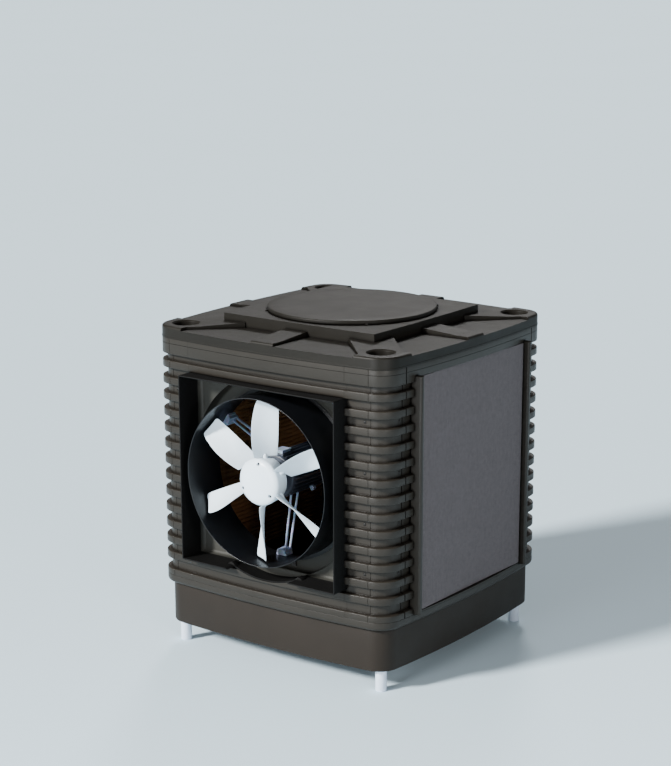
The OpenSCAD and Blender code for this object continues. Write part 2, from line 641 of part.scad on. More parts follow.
module float_valve() color([0.82, 0.8, 0.72])
    translate([float_at.x, 0, float_at.y]) difference() {
        union() {
            translate([-11, 446, -11]) cube([22, 24, 22]);
            for (s = [-1, 1]) translate([s * 9 - 2, 428, -9]) cube([4, 20, 18]);
        }
        translate([-15, 436, 0]) rotate([0, 90, 0]) cylinder(r = 3, h = 30);
    }
module float_arm() color([0.72, 0.6, 0.34])
    translate([float_at.x, 0, float_at.y]) {
        translate([-12, 436, 0]) rotate([0, 90, 0]) cylinder(r = 2.95, h = 24);
        translate([-6, 429, -6]) cube([12, 13, 12]);
        translate([0, 330, 0]) rotate([-90, 0, 0]) cylinder(r = 3, h = 100);
    }
module float_ball() color([0.9, 0.45, 0.2]) translate([float_at.x, 292, float_at.y]) difference() {
    sphere(r = 40);
    translate([0, 38, 0]) rotate([-90, 0, 0]) cylinder(r = 3.02, h = 10);
    translate([0, -39.5, 0]) rotate([90, 0, 0]) cylinder(r = 6, h = 5);
}
module overflow_pipe() color([0.8, 0.83, 0.88]) translate([0, 380, 0]) difference() {
    union() {
        translate([0, 0, tank_z - 30]) cylinder(r = 16, h = 148);
        translate([0, 0, tank_z + 5]) cylinder(r = 24, h = 6);
        translate([0, 0, tank_z - 9]) cylinder(r = 25, h = 9, $fn = 6);
    }
    translate([0, 0, tank_z - 31]) cylinder(r = 13, h = 150);
}
module drain_valve() color([0.78, 0.66, 0.38])
    difference() {
        union() {
            y_cyl(17, face_tank - 30, rear_end, drain_at.x, drain_at.y);
            translate([drain_at.x, drain_y, drain_at.y]) sphere(r = 22);
            translate([drain_at.x, drain_y, drain_at.y]) cylinder(r = 9, h = 30);
            y_cyl(24, face_tank + 0.5, face_tank + 8, drain_at.x, drain_at.y);
        }
        y_cyl(12, face_tank - 31, rear_end + 1, drain_at.x, drain_at.y);
        translate([drain_at.x, drain_y, drain_at.y + 20]) cylinder(r = 4.05, h = 20);
    }
module drain_handle() color([0.7, 0.15, 0.1]) translate([drain_at.x, drain_y, drain_at.y]) {
    translate([0, 0, 21]) cylinder(r = 4, h = 14);
    translate([0, 0, 31]) cylinder(r = 10, h = 4);
    translate([0, -8, 31]) cube([78, 16, 4]);
}

// ---- fasteners ----
module wall_screw(q, x, z) rotate([0, 0, q])
    translate([body_half + body_bow - arc_r(body_half, body_bow), 0, z]) rotate([0, 0, at_x(x)])
        translate([arc_r(body_half, body_bow) - rib_depth, 0, 0]) rotate([0, 90, 0])
            cylinder(r = 4.5, h = 3);
module panel_screws() color([0.06, 0.06, 0.06])
    for (k = screw_rows, s = [-1, 1]) {
        wall_screw(-90, s * 408, rib_z(k) + rib_pitch / 2);
        for (q = [0, 90, 180]) wall_screw(q, s * (side_seam + 14), rib_z(k) + rib_pitch / 2);
    }

base_tank();
corner_legs();
bottom_frame();
top_frame();
column_front_left();
column_front_right();
column_rear_left();
column_rear_right();
front_panel();
duct_collar();
venturi_plate();
fan_ring();
ring_clips();
side_frame_right();
side_frame_left();
side_frame_rear();
filter_frame_right();
filter_frame_left();
filter_frame_rear();
dust_filter_right();
dust_filter_left();
dust_filter_rear();
cooling_pad_right();
cooling_pad_left();
cooling_pad_rear();
lid();
lid_disc();
panel_screws();
fan_hub();
hub_screws();
blade_clamps();
motor_shaft();
fan_blade_1();
fan_blade_2();
fan_blade_3();
fan_blade_4();
fan_blade_5();
fan_blade_6();
motor_body();
motor_bell_front();
motor_bell_rear();
motor_knob();
motor_terminal();
motor_arms();
arm_feet();
arm_bolts();
junction_box();
junction_cover();
water_pump();
pump_strainer();
pump_impeller();
riser_hose();
distributor_pipe();
water_inlet();
float_valve();
float_arm();
float_ball();
overflow_pipe();
drain_valve();
drain_handle();
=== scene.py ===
"""Evaporative cooler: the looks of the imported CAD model, in metres, in the CAD's own frame."""
import math
import bpy
import bmesh
from mathutils import Matrix, Vector


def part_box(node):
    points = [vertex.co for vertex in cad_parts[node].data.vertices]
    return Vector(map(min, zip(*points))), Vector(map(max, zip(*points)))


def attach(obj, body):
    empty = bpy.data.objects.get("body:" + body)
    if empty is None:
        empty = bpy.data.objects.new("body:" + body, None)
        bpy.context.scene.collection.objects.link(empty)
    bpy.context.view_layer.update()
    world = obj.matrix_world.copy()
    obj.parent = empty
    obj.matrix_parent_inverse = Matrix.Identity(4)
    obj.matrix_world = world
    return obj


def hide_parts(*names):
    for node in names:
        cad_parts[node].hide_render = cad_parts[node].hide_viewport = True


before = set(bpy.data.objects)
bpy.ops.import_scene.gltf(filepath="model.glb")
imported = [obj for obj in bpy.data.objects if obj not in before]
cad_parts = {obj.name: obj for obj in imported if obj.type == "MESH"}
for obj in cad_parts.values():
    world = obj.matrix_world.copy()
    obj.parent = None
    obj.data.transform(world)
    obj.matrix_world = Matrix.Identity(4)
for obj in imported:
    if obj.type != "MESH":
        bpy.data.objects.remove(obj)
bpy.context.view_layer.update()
MM = 0.001


# ---- levels and sizes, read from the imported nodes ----
def low(node):
    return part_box(node)[0]


def high(node):
    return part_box(node)[1]


TANK_Z, TANK_TOP = low("base_tank").z, high("base_tank").z
BAND_Z = high("bottom_frame").z
BODY_TOP = high("front_panel").z
PLATE_TOP, DISC_TOP = high("lid").z, high("lid_disc").z
DISC_R = high("lid_disc").x
FAN_Z = (low("fan_ring").z + high("fan_ring").z) / 2
RING_FRONT = low("fan_ring").y
COLLAR_FRONT, VENTURI_Y = low("duct_collar").y, low("venturi_plate").y
COLLAR_HALF = high("duct_collar").x
HUB_FRONT, HUB_BACK = low("fan_hub").y, high("fan_hub").y
HUB_R = high("fan_hub").x
MOTOR_FRONT, MOTOR_BACK = low("motor_body").y, high("motor_body").y
MOTOR_R = high("motor_body").x
OPEN_LOW, OPEN_HIGH = low("cooling_pad_right").z, high("cooling_pad_right").z + 2 * MM
OPEN_HALF = high("cooling_pad_right").y + 1 * MM
POST_OUT = high("side_frame_right").x
CLOTH_FACE = high("dust_filter_right").x

# the moulding's own numbers, as in the CAD
WALL, RIB_DEPTH, RIB_HALF, RIB_PITCH, RIB_COUNT = 3.2 * MM, 18 * MM, 13.5 * MM, 59.2 * MM, 13
RIB_TOP = 1051 * MM
SILL_Z, HEAD_Z, SEAM_Z = BAND_Z + 23 * MM, BODY_TOP - 57 * MM, BODY_TOP - 18 * MM
SIDE_SEAM, SEAM_GAP = 400 * MM, 1.8 * MM
POCKET_R, FLOOR_Y, RING_R = 361 * MM, -408 * MM, 300 * MM
PLATE_HALF = 327 * MM
LID_RIM, LID_PAD = BODY_TOP + 34 * MM, BODY_TOP + 43.5 * MM
CUP_R, CUP_AT = 50 * MM, 422 * MM
POST_W = 20 * MM


# ---- plan outlines: four bowed sides and four tangent corner arcs ----
class Outline:
    def __init__(self, half, bow, corner):
        self.radius = (half * half + bow * bow) / (2 * bow)
        self.centre = half + bow - self.radius
        self.corner = corner
        d = self.radius - half - bow
        self.c = (math.sqrt(2 * (self.radius - corner) ** 2 - d * d) - d) / 2
        self.angle = math.atan2(self.c, self.c + d)

    def at(self, x):
        return math.asin(x / self.radius)

    def side(self, t, quarter=0):
        """Point and outward direction at angle t on the side that faces +X, turned by quarters."""
        out = Vector((math.cos(t), math.sin(t)))
        return turned(Vector((self.centre, 0)) + out * self.radius, quarter), turned(out, quarter)

    def round(self, t, quarter=0):
        out = Vector((math.cos(t), math.sin(t)))
        return turned(Vector((self.c, self.c)) + out * self.corner, quarter), turned(out, quarter)

    def whole(self, side_steps=12, corner_steps=14):
        a = self.angle
        return [s for q in range(4)
                for s in [self.side(t, q) for t in spread(-a, a, side_steps)[:-1]]
                + [self.round(t, q) for t in spread(a, math.pi / 2 - a, corner_steps)[:-1]]]


def turned(v, quarter):
    for _ in range(quarter % 4):
        v = Vector((-v.y, v.x))
    return v


def spread(a, b, steps):
    return [a + (b - a) * i / steps for i in range(steps + 1)]


BODY = Outline(500 * MM, 27.9 * MM, 85.3 * MM)
TANK = Outline(483 * MM, 25 * MM, 78 * MM)


# ---- mesh tools ----
def rounded(points, closed=True, steps=3):
    """The polyline through (x, y, radius) points with its corners rounded."""
    out, n = [], len(points)
    for i, (x, y, r) in enumerate(points):
        p = Vector((x, y))
        if r <= 0 or (not closed and i in (0, n - 1)):
            out.append((x, y))
            continue
        to_a = Vector(points[i - 1][:2]) - p
        to_b = Vector(points[(i + 1) % n][:2]) - p
        half = to_a.angle(to_b) / 2
        cut = min(r / math.tan(half), 0.49 * to_a.length, 0.49 * to_b.length)
        r = cut * math.tan(half)
        u, v = to_a.normalized(), to_b.normalized()
        centre = p + (u + v).normalized() * (r / math.sin(half))
        start, end = p + u * cut - centre, p + v * cut - centre
        turn = math.pi - 2 * half
        if start.x * end.y - start.y * end.x < 0:
            turn = -turn
        for s in range(steps + 1):
            a = math.atan2(start.y, start.x) + turn * s / steps
            out.append((centre.x + r * math.cos(a), centre.y + r * math.sin(a)))
    return out


def new_mesh(name, verts, faces, sharp=40):
    mesh = bpy.data.meshes.new(name)
    mesh.from_pydata([tuple(v) for v in verts], [], faces)
    obj = bpy.data.objects.new(name, mesh)
    bpy.context.scene.collection.objects.link(obj)
    return tidy_mesh(obj, sharp)


def ring_faces(m, n, spans):
    """Quads between rings of m points; n rings wrap round when there are as many spans."""
    return [(i * m + j, i * m + (j + 1) % m, (i + 1) % n * m + (j + 1) % m, (i + 1) % n * m + j)
            for i in range(spans) for j in range(m)]


def two_sided(rows, n):
    """Faces of a thin sheet: two grids of rows x n points, one after the other, and their edge."""
    half, last = rows * n, n - 1
    faces = [(k + i * n + j, k + i * n + j + 1, k + (i + 1) * n + j + 1, k + (i + 1) * n + j)
             for k in (0, half) for i in range(rows - 1) for j in range(last)]
    edge = [i * n for i in range(rows)] + [(rows - 1) * n + j for j in range(1, n)]
    edge += [i * n + last for i in range(rows - 2, -1, -1)] + list(range(last - 1, 0, -1))
    return faces + [(a, b, b + half, a + half) for a, b in zip(edge, edge[1:] + edge[:1])]


def stacked(name, stations, levels, sharp=40):
    """A closed shell through stations of (point, outward), moved out and up by (offset, height)."""
    n = len(stations)
    verts = [(p.x + out.x * d, p.y + out.y * d, z) for d, z in levels for p, out in stations]
    faces = ring_faces(n, len(levels), len(levels) - 1)
    faces += [tuple(reversed(range(n))), tuple(range((len(levels) - 1) * n, len(levels) * n))]
    return new_mesh(name, verts, faces, sharp)


def tidy_mesh(obj, sharp=40):
    """Merges doubles, turns the faces outwards and shades smooth up to the sharp angle."""
    bm = bmesh.new()
    bm.from_mesh(obj.data)
    bmesh.ops.remove_doubles(bm, verts=bm.verts, dist=1e-6)
    bmesh.ops.dissolve_degenerate(bm, edges=bm.edges, dist=1e-7)
    bmesh.ops.recalc_face_normals(bm, faces=bm.faces)
    bm.to_mesh(obj.data)
    bm.free()
    obj.data.shade_smooth()
    obj.data.set_sharp_from_angle(angle=math.radians(sharp))
    return obj


def flat_plan(u, v, w):
    return (u, v, w)


def fan_plan(u, v, w):
    """A plan drawn in the plane of the fan, with depth along Y."""
    return (u, w, FAN_Z + v)


def sweep(name, stations, section, closed=False, end_bevel=0, place=flat_plan, sharp=40):
    """Carries a closed section of (offset, height) points along stations of (point, outward)."""
    m, n = len(section), len(stations)
    inner = min(d for d, _ in section)
    verts = []
    for i, (p, out) in enumerate(stations):
        drop = end_bevel if not closed and i in (0, n - 1) else 0
        for d, w in section:
            q = p + out * max(d - drop, inner)
            verts.append(place(q.x, q.y, w))
    rows = n if closed else n - 1
    faces = ring_faces(m, n, rows)
    if not closed:
        faces += [tuple(range(m)), tuple(reversed(range((n - 1) * m, n * m)))]
    return new_mesh(name, verts, faces, sharp)


def revolve(name, profile, axis="y", centre=(0, 0, 0), steps=96, arc=(0, 360), sharp=40):
    """Turns a closed profile of (radius, height) points round an axis through centre."""
    full = arc[1] - arc[0] >= 360
    m, verts = len(profile), []
    turns = steps if full else steps + 1
    for i in range(turns):
        a = math.radians(arc[0] + (arc[1] - arc[0]) * i / steps)
        for r, h in profile:
            ring = (r * math.cos(a), r * math.sin(a))
            p = {"z": (ring[0], ring[1], h), "y": (ring[0], h, ring[1]),
                 "x": (h, ring[0], ring[1])}[axis]
            verts.append(Vector(p) + Vector(centre))
    faces = ring_faces(m, turns, turns if full else steps)
    if not full:
        faces += [tuple(range(m)), tuple(reversed(range((turns - 1) * m, turns * m)))]
    return new_mesh(name, verts, faces, sharp)


def extrude(name, outline, w0, w1, place=flat_plan, bevel=0, steps=2, sharp=40):
    """A prism of an outline, with its rims rounded by bevel."""
    verts, faces = [], []
    n = len(outline)
    levels = []
    for s in range(steps + 1) if bevel else [0]:
        a = math.pi / 2 * s / steps if bevel else 0
        levels.append((bevel * (1 - math.sin(a)), w0 + bevel * (1 - math.cos(a))))
    levels += [(d, w0 + w1 - w) for d, w in reversed(levels)]
    shifted = {d: inset(outline, d) for d, _ in levels}
    for d, w in levels:
        verts += [place(x, y, w) for x, y in shifted[d]]
    faces += ring_faces(n, len(levels), len(levels) - 1)
    faces += [tuple(reversed(range(n))), tuple(range((len(levels) - 1) * n, len(levels) * n))]
    return new_mesh(name, verts, faces, sharp)


def inset(outline, d):
    """The outline moved inwards by d, point by point."""
    if not d:
        return list(outline)
    n, out = len(outline), []
    area = sum(outline[i - 1][0] * outline[i][1] - outline[i][0] * outline[i - 1][1]
               for i in range(n))
    sign = 1 if area > 0 else -1
    for i in range(n):
        p, a, b = (Vector(outline[k % n]) for k in (i, i - 1, i + 1))
        e0, e1 = (p - a).normalized(), (b - p).normalized()
        n0, n1 = Vector((-e0.y, e0.x)) * sign, Vector((-e1.y, e1.x)) * sign
        mid = n0 + n1
        if mid.length < 1e-6:
            mid = n0
        mid.normalize()
        out.append(tuple(p + mid * (d / max(mid.dot(n0), 0.4))))
    return out


def box_mesh(name, a, b, bevel=1 * MM, steps=2):
    """A box with rounded edges, between two opposite corners."""
    outline = rounded([(a[0], a[1], bevel), (b[0], a[1], bevel), (b[0], b[1], bevel),
                       (a[0], b[1], bevel)], steps=steps)
    return extrude(name, outline, a[2], b[2], bevel=bevel, steps=steps)


def joined(name, parts, sharp=None):
    """One mesh from several, which are removed."""
    bm = bmesh.new()
    for part in parts:
        mesh = part.data.copy()
        mesh.transform(part.matrix_world)
        bm.from_mesh(mesh)
        bpy.data.meshes.remove(mesh)
        drop(part)
    mesh = bpy.data.meshes.new(name)
    bm.to_mesh(mesh)
    bm.free()
    obj = bpy.data.objects.new(name, mesh)
    bpy.context.scene.collection.objects.link(obj)
    mesh.shade_smooth()
    mesh.set_sharp_from_angle(angle=math.radians(sharp or 40))
    return obj


def drop(obj):
    mesh = obj.data
    bpy.data.objects.remove(obj)
    bpy.data.meshes.remove(mesh)


def moved(obj, matrix):
    obj.data.transform(matrix)
    return obj


def copied(obj, matrix, name=None):
    twin = bpy.data.objects.new(name or obj.name, obj.data.copy())
    bpy.context.scene.collection.objects.link(twin)
    twin.data.transform(matrix)
    return twin


def boolean(obj, other, operation="DIFFERENCE", keep=False):
    """Cuts or joins another mesh and keeps the result as plain geometry."""
    mod = obj.modifiers.new("cut", "BOOLEAN")
    mod.object, mod.operation, mod.solver = other, operation, "EXACT"
    bake_modifiers(obj)
    if not keep:
        drop(other)
    return obj


def bake_modifiers(obj):
    bpy.context.view_layer.update()
    shape = obj.evaluated_get(bpy.context.evaluated_depsgraph_get())
    mesh = bpy.data.meshes.new_from_object(shape)
    old = obj.data
    obj.modifiers.clear()
    obj.data = mesh
    bpy.data.meshes.remove(old)
    return obj


def spin(axis, degrees, centre=(0, 0, 0)):
    c = Matrix.Translation(Vector(centre))
    return c @ Matrix.Rotation(math.radians(degrees), 4, axis) @ c.inverted()


def shift(x, y, z):
    return Matrix.Translation(Vector((x, y, z)))


# ---- materials ----
class Nodes:
    """Short names for building one material's node tree."""

    def __init__(self, name):
        self.material = bpy.data.materials.new(name)
        self.material.use_nodes = True
        self.tree = self.material.node_tree
        self.shader = self.tree.nodes["Principled BSDF"]
        self.coords = self.tree.nodes.new("ShaderNodeTexCoord").outputs["Object"]

    def node(self, kind, **values):
        n = self.tree.nodes.new("ShaderNode" + kind)
        for key, value in values.items():
            if hasattr(n, key):
                setattr(n, key, value)
            else:
                n.inputs[key.replace("_", " ")].default_value = value
        return n

    def link(self, a, b):
        self.tree.links.new(a, b)

    def stretched(self, x, y, z):
        n = self.node("Mapping")
        n.inputs["Scale"].default_value = (x, y, z)
        self.link(self.coords, n.inputs["Vector"])
        return n.outputs[0]

    def noise(self, scale, detail=3.0, rough=0.55, coords=None):
        n = self.node("TexNoise", Scale=scale, Detail=detail, Roughness=rough)
        self.link(coords or self.coords, n.inputs["Vector"])
        return n.outputs["Fac"]

    def ramp(self, value, stops):
        n = self.node("ValToRGB")
        ramp = n.color_ramp
        while len(ramp.elements) < len(stops):
            ramp.elements.new(0.5)
        for e, (at, colour) in zip(ramp.elements, stops):
            e.position = at
            e.color = (*colour, 1) if hasattr(colour, "__len__") else (colour, colour, colour, 1)
        self.link(value, n.inputs["Fac"])
        return n.outputs["Color"]

    def open_air(self, reach):
        """1 on open faces, falling towards 0 in grooves and under ledges."""
        return self.node("AmbientOcclusion", samples=8, Distance=reach).outputs["AO"]

    def scaled(self, value, low, high, from_low=0.0, from_high=1.0):
        n = self.node("MapRange")
        for key, v in (("From Min", from_low), ("From Max", from_high), ("To Min", low),
                       ("To Max", high)):
            n.inputs[key].default_value = v
        self.link(value, n.inputs["Value"])
        return n.outputs["Result"]

    def mixed(self, factor, a, b, blend="MIX"):
        n = self.node("Mix", data_type="RGBA", blend_type=blend)
        for socket, v in ((n.inputs["Factor"], factor), (n.inputs[6], a), (n.inputs[7], b)):
            if isinstance(v, bpy.types.NodeSocket):
                self.link(v, socket)
            elif hasattr(v, "__len__"):
                socket.default_value = (*v, 1)
            else:
                socket.default_value = v
        return n.outputs[2]

    def maths(self, operation, a, b=0.0):
        n = self.node("Math", operation=operation)
        for socket, v in zip(n.inputs, (a, b)):
            if isinstance(v, bpy.types.NodeSocket):
                self.link(v, socket)
            else:
                socket.default_value = v
        return n.outputs[0]

    def edges(self, radius, gain=6.0):
        """1 on outer and inner edges, 0 on flat faces: the rounded normal against the true one."""
        bevel = self.node("Bevel", samples=4, Radius=radius)
        normal = self.node("NewGeometry").outputs["Normal"]
        dot = self.node("VectorMath", operation="DOT_PRODUCT")
        self.link(bevel.outputs[0], dot.inputs[0])
        self.link(normal, dot.inputs[1])
        out = self.maths("MULTIPLY", self.maths("SUBTRACT", 1.0, dot.outputs["Value"]), gain)
        return self.maths("MINIMUM", out, 1.0)

    def upward(self):
        """How far a face looks up, from 0 to 1."""
        split = self.node("SeparateXYZ")
        self.link(self.node("NewGeometry").outputs["Normal"], split.inputs[0])
        return self.maths("MAXIMUM", split.outputs["Z"], 0.0)

    def bump(self, layers):
        """Adds (height, distance in metres) layers of relief."""
        last = None
        for height, distance in layers:
            n = self.node("Bump", Distance=distance, Strength=1.0)
            self.link(height, n.inputs["Height"])
            if last:
                self.link(last, n.inputs["Normal"])
            last = n.outputs[0]
        self.link(last, self.shader.inputs["Normal"])

    def finish(self, colour, rough, **fixed):
        self.link(colour, self.shader.inputs["Base Color"])
        self.link(rough, self.shader.inputs["Roughness"])
        for key, value in fixed.items():
            self.shader.inputs[key.replace("_", " ")].default_value = value
        return self.material


def shade(colour, k):
    """A lighter or darker tone of a colour."""
    return [min(c * k, 1) for c in colour]


def plastic(name, colour, rough=0.5, grain=0.00012, worn=0.35, dust=0.0, specular=0.5,
            mottled=0.10, worn_to=2.2, recess_shade=0.0):
    """Moulded plastic: spark-eroded grain, flow clouds, rubbed edges, settled dust, painted shade in grooves and
    recesses.
    """
    n = Nodes(name)
    clouds = n.noise(5.0, 4.0)
    flow = n.noise(28.0, 3.0, coords=n.stretched(1, 1, 0.25))
    fine = n.noise(1400.0, 2.0, 0.7)
    dark = shade(colour, 1 - mottled)
    light = shade(colour, 1 + mottled)
    tone = n.mixed(n.scaled(clouds, 0, 1, 0.3, 0.7), dark, light)
    tone = n.mixed(n.scaled(flow, 0, 0.35, 0.35, 0.75), tone, light)
    tone = n.mixed(n.scaled(fine, 0, 0.3, 0.4, 0.75), tone, shade(colour, 1.5))
    rub = n.maths("MULTIPLY", n.edges(1.6 * MM), n.scaled(n.noise(60.0, 4.0, 0.7), 0, worn, 0.35, 0.7))
    tone = n.mixed(rub, tone, shade(colour, worn_to))
    if dust:
        settled = n.maths("MULTIPLY", n.upward(), n.scaled(n.noise(9.0, 6.0, 0.65), 0, dust, 0.3, 0.8))
        tone = n.mixed(settled, tone, (0.30, 0.28, 0.25))
    gloss = n.maths("ADD", n.scaled(clouds, rough - 0.05, rough + 0.07, 0.3, 0.7),
                    n.scaled(fine, -0.04, 0.06))
    n.bump([(n.noise(18.0, 2.0), 0.0006), (fine, grain)])
    # painted shade: colour and specular fall towards black in grooves, recesses and under ledges
    if recess_shade:
        lit = n.scaled(n.open_air(14 * MM), 1 - recess_shade, 1, 0.42, 0.9)
        tone = n.mixed(lit, (0.0005, 0.0005, 0.0005), tone)
        n.link(n.maths("MULTIPLY", lit, specular), n.shader.inputs["Specular IOR Level"])
    return n.finish(tone, gloss, Specular_IOR_Level=specular)


def gloss_plastic(name, colour, rough=0.28, coat=0.0, mottled=0.03, sink=0.0004):
    """Glossy moulded plastic or PVC with faint sink marks and handling scuffs."""
    n = Nodes(name)
    clouds = n.noise(11.0, 3.0)
    scuff = n.noise(220.0, 5.0, 0.75, n.stretched(1, 1, 0.3))
    tone = n.mixed(n.scaled(clouds, 0, 1, 0.3, 0.7), shade(colour, 1 - mottled * 2),
                   shade(colour, 1 + mottled))
    tone = n.mixed(n.scaled(scuff, 0, 0.25, 0.62, 0.8), tone, shade(colour, 0.75))
    gloss = n.maths("ADD", n.scaled(clouds, rough - 0.04, rough + 0.05, 0.3, 0.7),
                    n.scaled(scuff, 0, 0.22, 0.55, 0.85))
    n.bump([(n.noise(14.0, 2.0), sink), (n.noise(900.0, 2.0), 0.00004)])
    return n.finish(tone, gloss, Specular_IOR_Level=0.5, Coat_Weight=coat, Coat_Roughness=0.15)


def metal(name, colour, rough=0.35, brushed=(1, 1, 1), spangle=0.0, metallic=1.0):
    """Bare, galvanised or brass metal with drawn lines, spangle and dulled patches."""
    n = Nodes(name)
    lines = n.noise(260.0, 3.0, 0.7, n.stretched(*brushed))
    dull = n.noise(24.0, 5.0, 0.65)
    tone = n.mixed(n.scaled(dull, 0, 1, 0.3, 0.7), shade(colour, 0.8), colour)
    if spangle:
        cells = n.node("TexVoronoi", Scale=120.0)
        n.link(n.coords, cells.inputs["Vector"])
        tone = n.mixed(spangle, tone, cells.outputs["Color"], "SOFT_LIGHT")
    tone = n.mixed(n.scaled(lines, 0, 0.3, 0.4, 0.7), tone, shade(colour, 0.7))
    gloss = n.maths("ADD", n.scaled(dull, rough - 0.06, rough + 0.14, 0.3, 0.7),
                    n.scaled(lines, -0.05, 0.08))
    n.bump([(lines, 0.00004)])
    return n.finish(tone, gloss, Metallic=metallic)


def painted(name, colour, rough=0.42):
    """Sprayed enamel with orange peel and chipped, rubbed edges."""
    n = Nodes(name)
    patches = n.noise(16.0, 4.0)
    peel = n.noise(420.0, 2.0)
    tone = n.mixed(n.scaled(patches, 0, 1, 0.3, 0.7), shade(colour, 0.8),
                   shade(colour, 1.2))
    rub = n.maths("MULTIPLY", n.edges(1.0 * MM), n.scaled(n.noise(90.0, 5.0, 0.7), 0, 0.7, 0.45, 0.7))
    tone = n.mixed(rub, tone, shade(colour, 3.2))
    gloss = n.maths("ADD", n.scaled(patches, rough - 0.06, rough + 0.08, 0.3, 0.7),
                    n.scaled(peel, -0.03, 0.03))
    n.bump([(peel, 0.00008)])
    return n.finish(tone, gloss, Specular_IOR_Level=0.5)


def felt(name, colour):
    """Non-woven filter cloth: needled fibres, soft mottling and faint vertical rolling lines."""
    n = Nodes(name)
    wool = n.noise(70.0, 6.0, 0.7)
    fibre = n.noise(900.0, 5.0, 0.8)
    strand = n.noise(320.0, 3.0, 0.7, n.stretched(1, 1, 0.06))
    tone = n.mixed(n.scaled(wool, 0, 1, 0.32, 0.68), shade(colour, 0.80),
                   shade(colour, 1.18))
    tone = n.mixed(n.scaled(fibre, 0, 0.75, 0.42, 0.7), tone, shade(colour, 1.65))
    tone = n.mixed(n.scaled(strand, 0, 0.45, 0.5, 0.72), tone, shade(colour, 0.68))
    gloss = n.scaled(wool, 0.86, 0.98)
    n.bump([(wool, 0.0012), (strand, 0.0004), (fibre, 0.0005)])
    return n.finish(tone, gloss, Specular_IOR_Level=0.1, Sheen_Weight=0.12, Sheen_Roughness=0.5)


def pad_paper(name):
    """Resin-treated cellulose: brown, darker where wet, with lighter fibres."""
    n = Nodes(name)
    wet = n.noise(7.0, 5.0, 0.6, n.stretched(1, 1, 0.4))
    fibre = n.noise(600.0, 4.0, 0.75)
    tone = n.mixed(n.scaled(wet, 0, 1, 0.3, 0.7), (0.16, 0.074, 0.026), (0.36, 0.165, 0.058))
    tone = n.mixed(n.scaled(fibre, 0, 0.4, 0.45, 0.7), tone, (0.46, 0.24, 0.10))
    gloss = n.scaled(wet, 0.62, 0.92)
    n.bump([(fibre, 0.0003)])
    return n.finish(tone, gloss, Specular_IOR_Level=0.3)


def rubber(name, colour):
    """Extruded rubber hose with bloom."""
    n = Nodes(name)
    bloom = n.noise(30.0, 5.0, 0.65)
    fine = n.noise(700.0, 2.0)
    tone = n.mixed(n.scaled(bloom, 0, 1, 0.35, 0.7), colour, shade(colour, 1.9))
    gloss = n.scaled(bloom, 0.5, 0.78)
    n.bump([(fine, 0.0001)])
    return n.finish(tone, gloss, Specular_IOR_Level=0.4)


def floor_paint(name, colour):
    n = Nodes(name)
    soft = n.noise(0.35, 3.0)
    tone = n.mixed(n.scaled(soft, 0, 1, 0.3, 0.7), shade(colour, 0.985), colour)
    gloss = n.scaled(soft, 0.75, 0.85)
    return n.finish(tone, gloss, Specular_IOR_Level=0.2)


# the tank, body and lid plastics get painted shade in their grooves and recesses
MATERIALS = {
    "tank_plastic": plastic("tank_plastic", (0.0140, 0.0107, 0.008), 0.50, worn=0.3,
                            specular=0.16, recess_shade=0.9),
    "body_plastic": plastic("body_plastic", (0.0165, 0.0142, 0.0112), 0.40, worn=0.35,
                            specular=0.22, recess_shade=0.95),
    # the lid plastic is darker than the body plastic to offset the stronger light on its top: painted shade
    "lid_plastic": plastic("lid_plastic", (0.0086, 0.0078, 0.0062), 0.46, worn=0.35, dust=0.008,
                           specular=0.13, recess_shade=0.7),
    "duct_plastic": plastic("duct_plastic", (0.0035, 0.0035, 0.0035), 0.60, 0.0003, worn=0.2, specular=0.12),
    "plate_plastic": plastic("plate_plastic", (0.030, 0.030, 0.026), 0.5, worn=0.3, specular=0.2),
    "ring_plastic": plastic("ring_plastic", (0.003, 0.0035, 0.0045), 0.36, 0.0001, worn=0.8,
                            specular=0.3, worn_to=14),
    "clip_plastic": plastic("clip_plastic", (0.02, 0.02, 0.02), 0.5),
    "filter_bars": plastic("filter_bars", (0.016, 0.016, 0.018), 0.55, worn=0.3),
    "filter_cloth": felt("filter_cloth", (0.074, 0.065, 0.070)),
    "pad_paper": pad_paper("pad_paper"),
    "screw_black": painted("screw_black", (0.0015, 0.0015, 0.0015), 0.6),
    "fan_white": gloss_plastic("fan_white", (0.72, 0.84, 0.93), 0.36, coat=0.05),
    "leg_pvc": gloss_plastic("leg_pvc", (0.60, 0.68, 0.80), 0.34),
    "steel": metal("steel", (0.55, 0.57, 0.60), 0.32, (0.1, 1, 1)),
    "motor_paint": painted("motor_paint", (0.040, 0.050, 0.070), 0.45),
    "galvanised": metal("galvanised", (0.34, 0.42, 0.56), 0.55, spangle=0.3, metallic=0.35),
    "box_plastic": plastic("box_plastic", (0.075, 0.08, 0.088), 0.5),
    "pump_plastic": plastic("pump_plastic", (0.016, 0.018, 0.022), 0.5),
    "impeller_plastic": gloss_plastic("impeller_plastic", (0.5, 0.5, 0.44), 0.4),
    "hose_rubber": rubber("hose_rubber", (0.014, 0.014, 0.015)),
    "pipe_pvc": gloss_plastic("pipe_pvc", (0.56, 0.60, 0.66), 0.34),
    "brass_fitting": metal("brass_fitting", (0.60, 0.42, 0.17), 0.33),
    "valve_plastic": gloss_plastic("valve_plastic", (0.62, 0.58, 0.46), 0.42),
    "float_plastic": gloss_plastic("float_plastic", (0.75, 0.20, 0.05), 0.4),
    "lever_red": gloss_plastic("lever_red", (0.42, 0.02, 0.01), 0.4),
}


def place(obj, body, slot, *nodes, look=None):
    """Gives a piece the material of its slot, lets it ride on a body and stand for CAD nodes."""
    obj.data.materials.clear()
    obj.data.materials.append(MATERIALS[look or slot])
    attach(obj, body)
    if nodes:
        obj.name = nodes[0] + "_look"
        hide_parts(*nodes)
    return obj


# ---- cabinet walls ----
EDGE = 2.6 * MM          # rounding of the rib edges
DEEP = -RIB_DEPTH - WALL


def rib_z(k):
    return RIB_TOP - RIB_PITCH * k


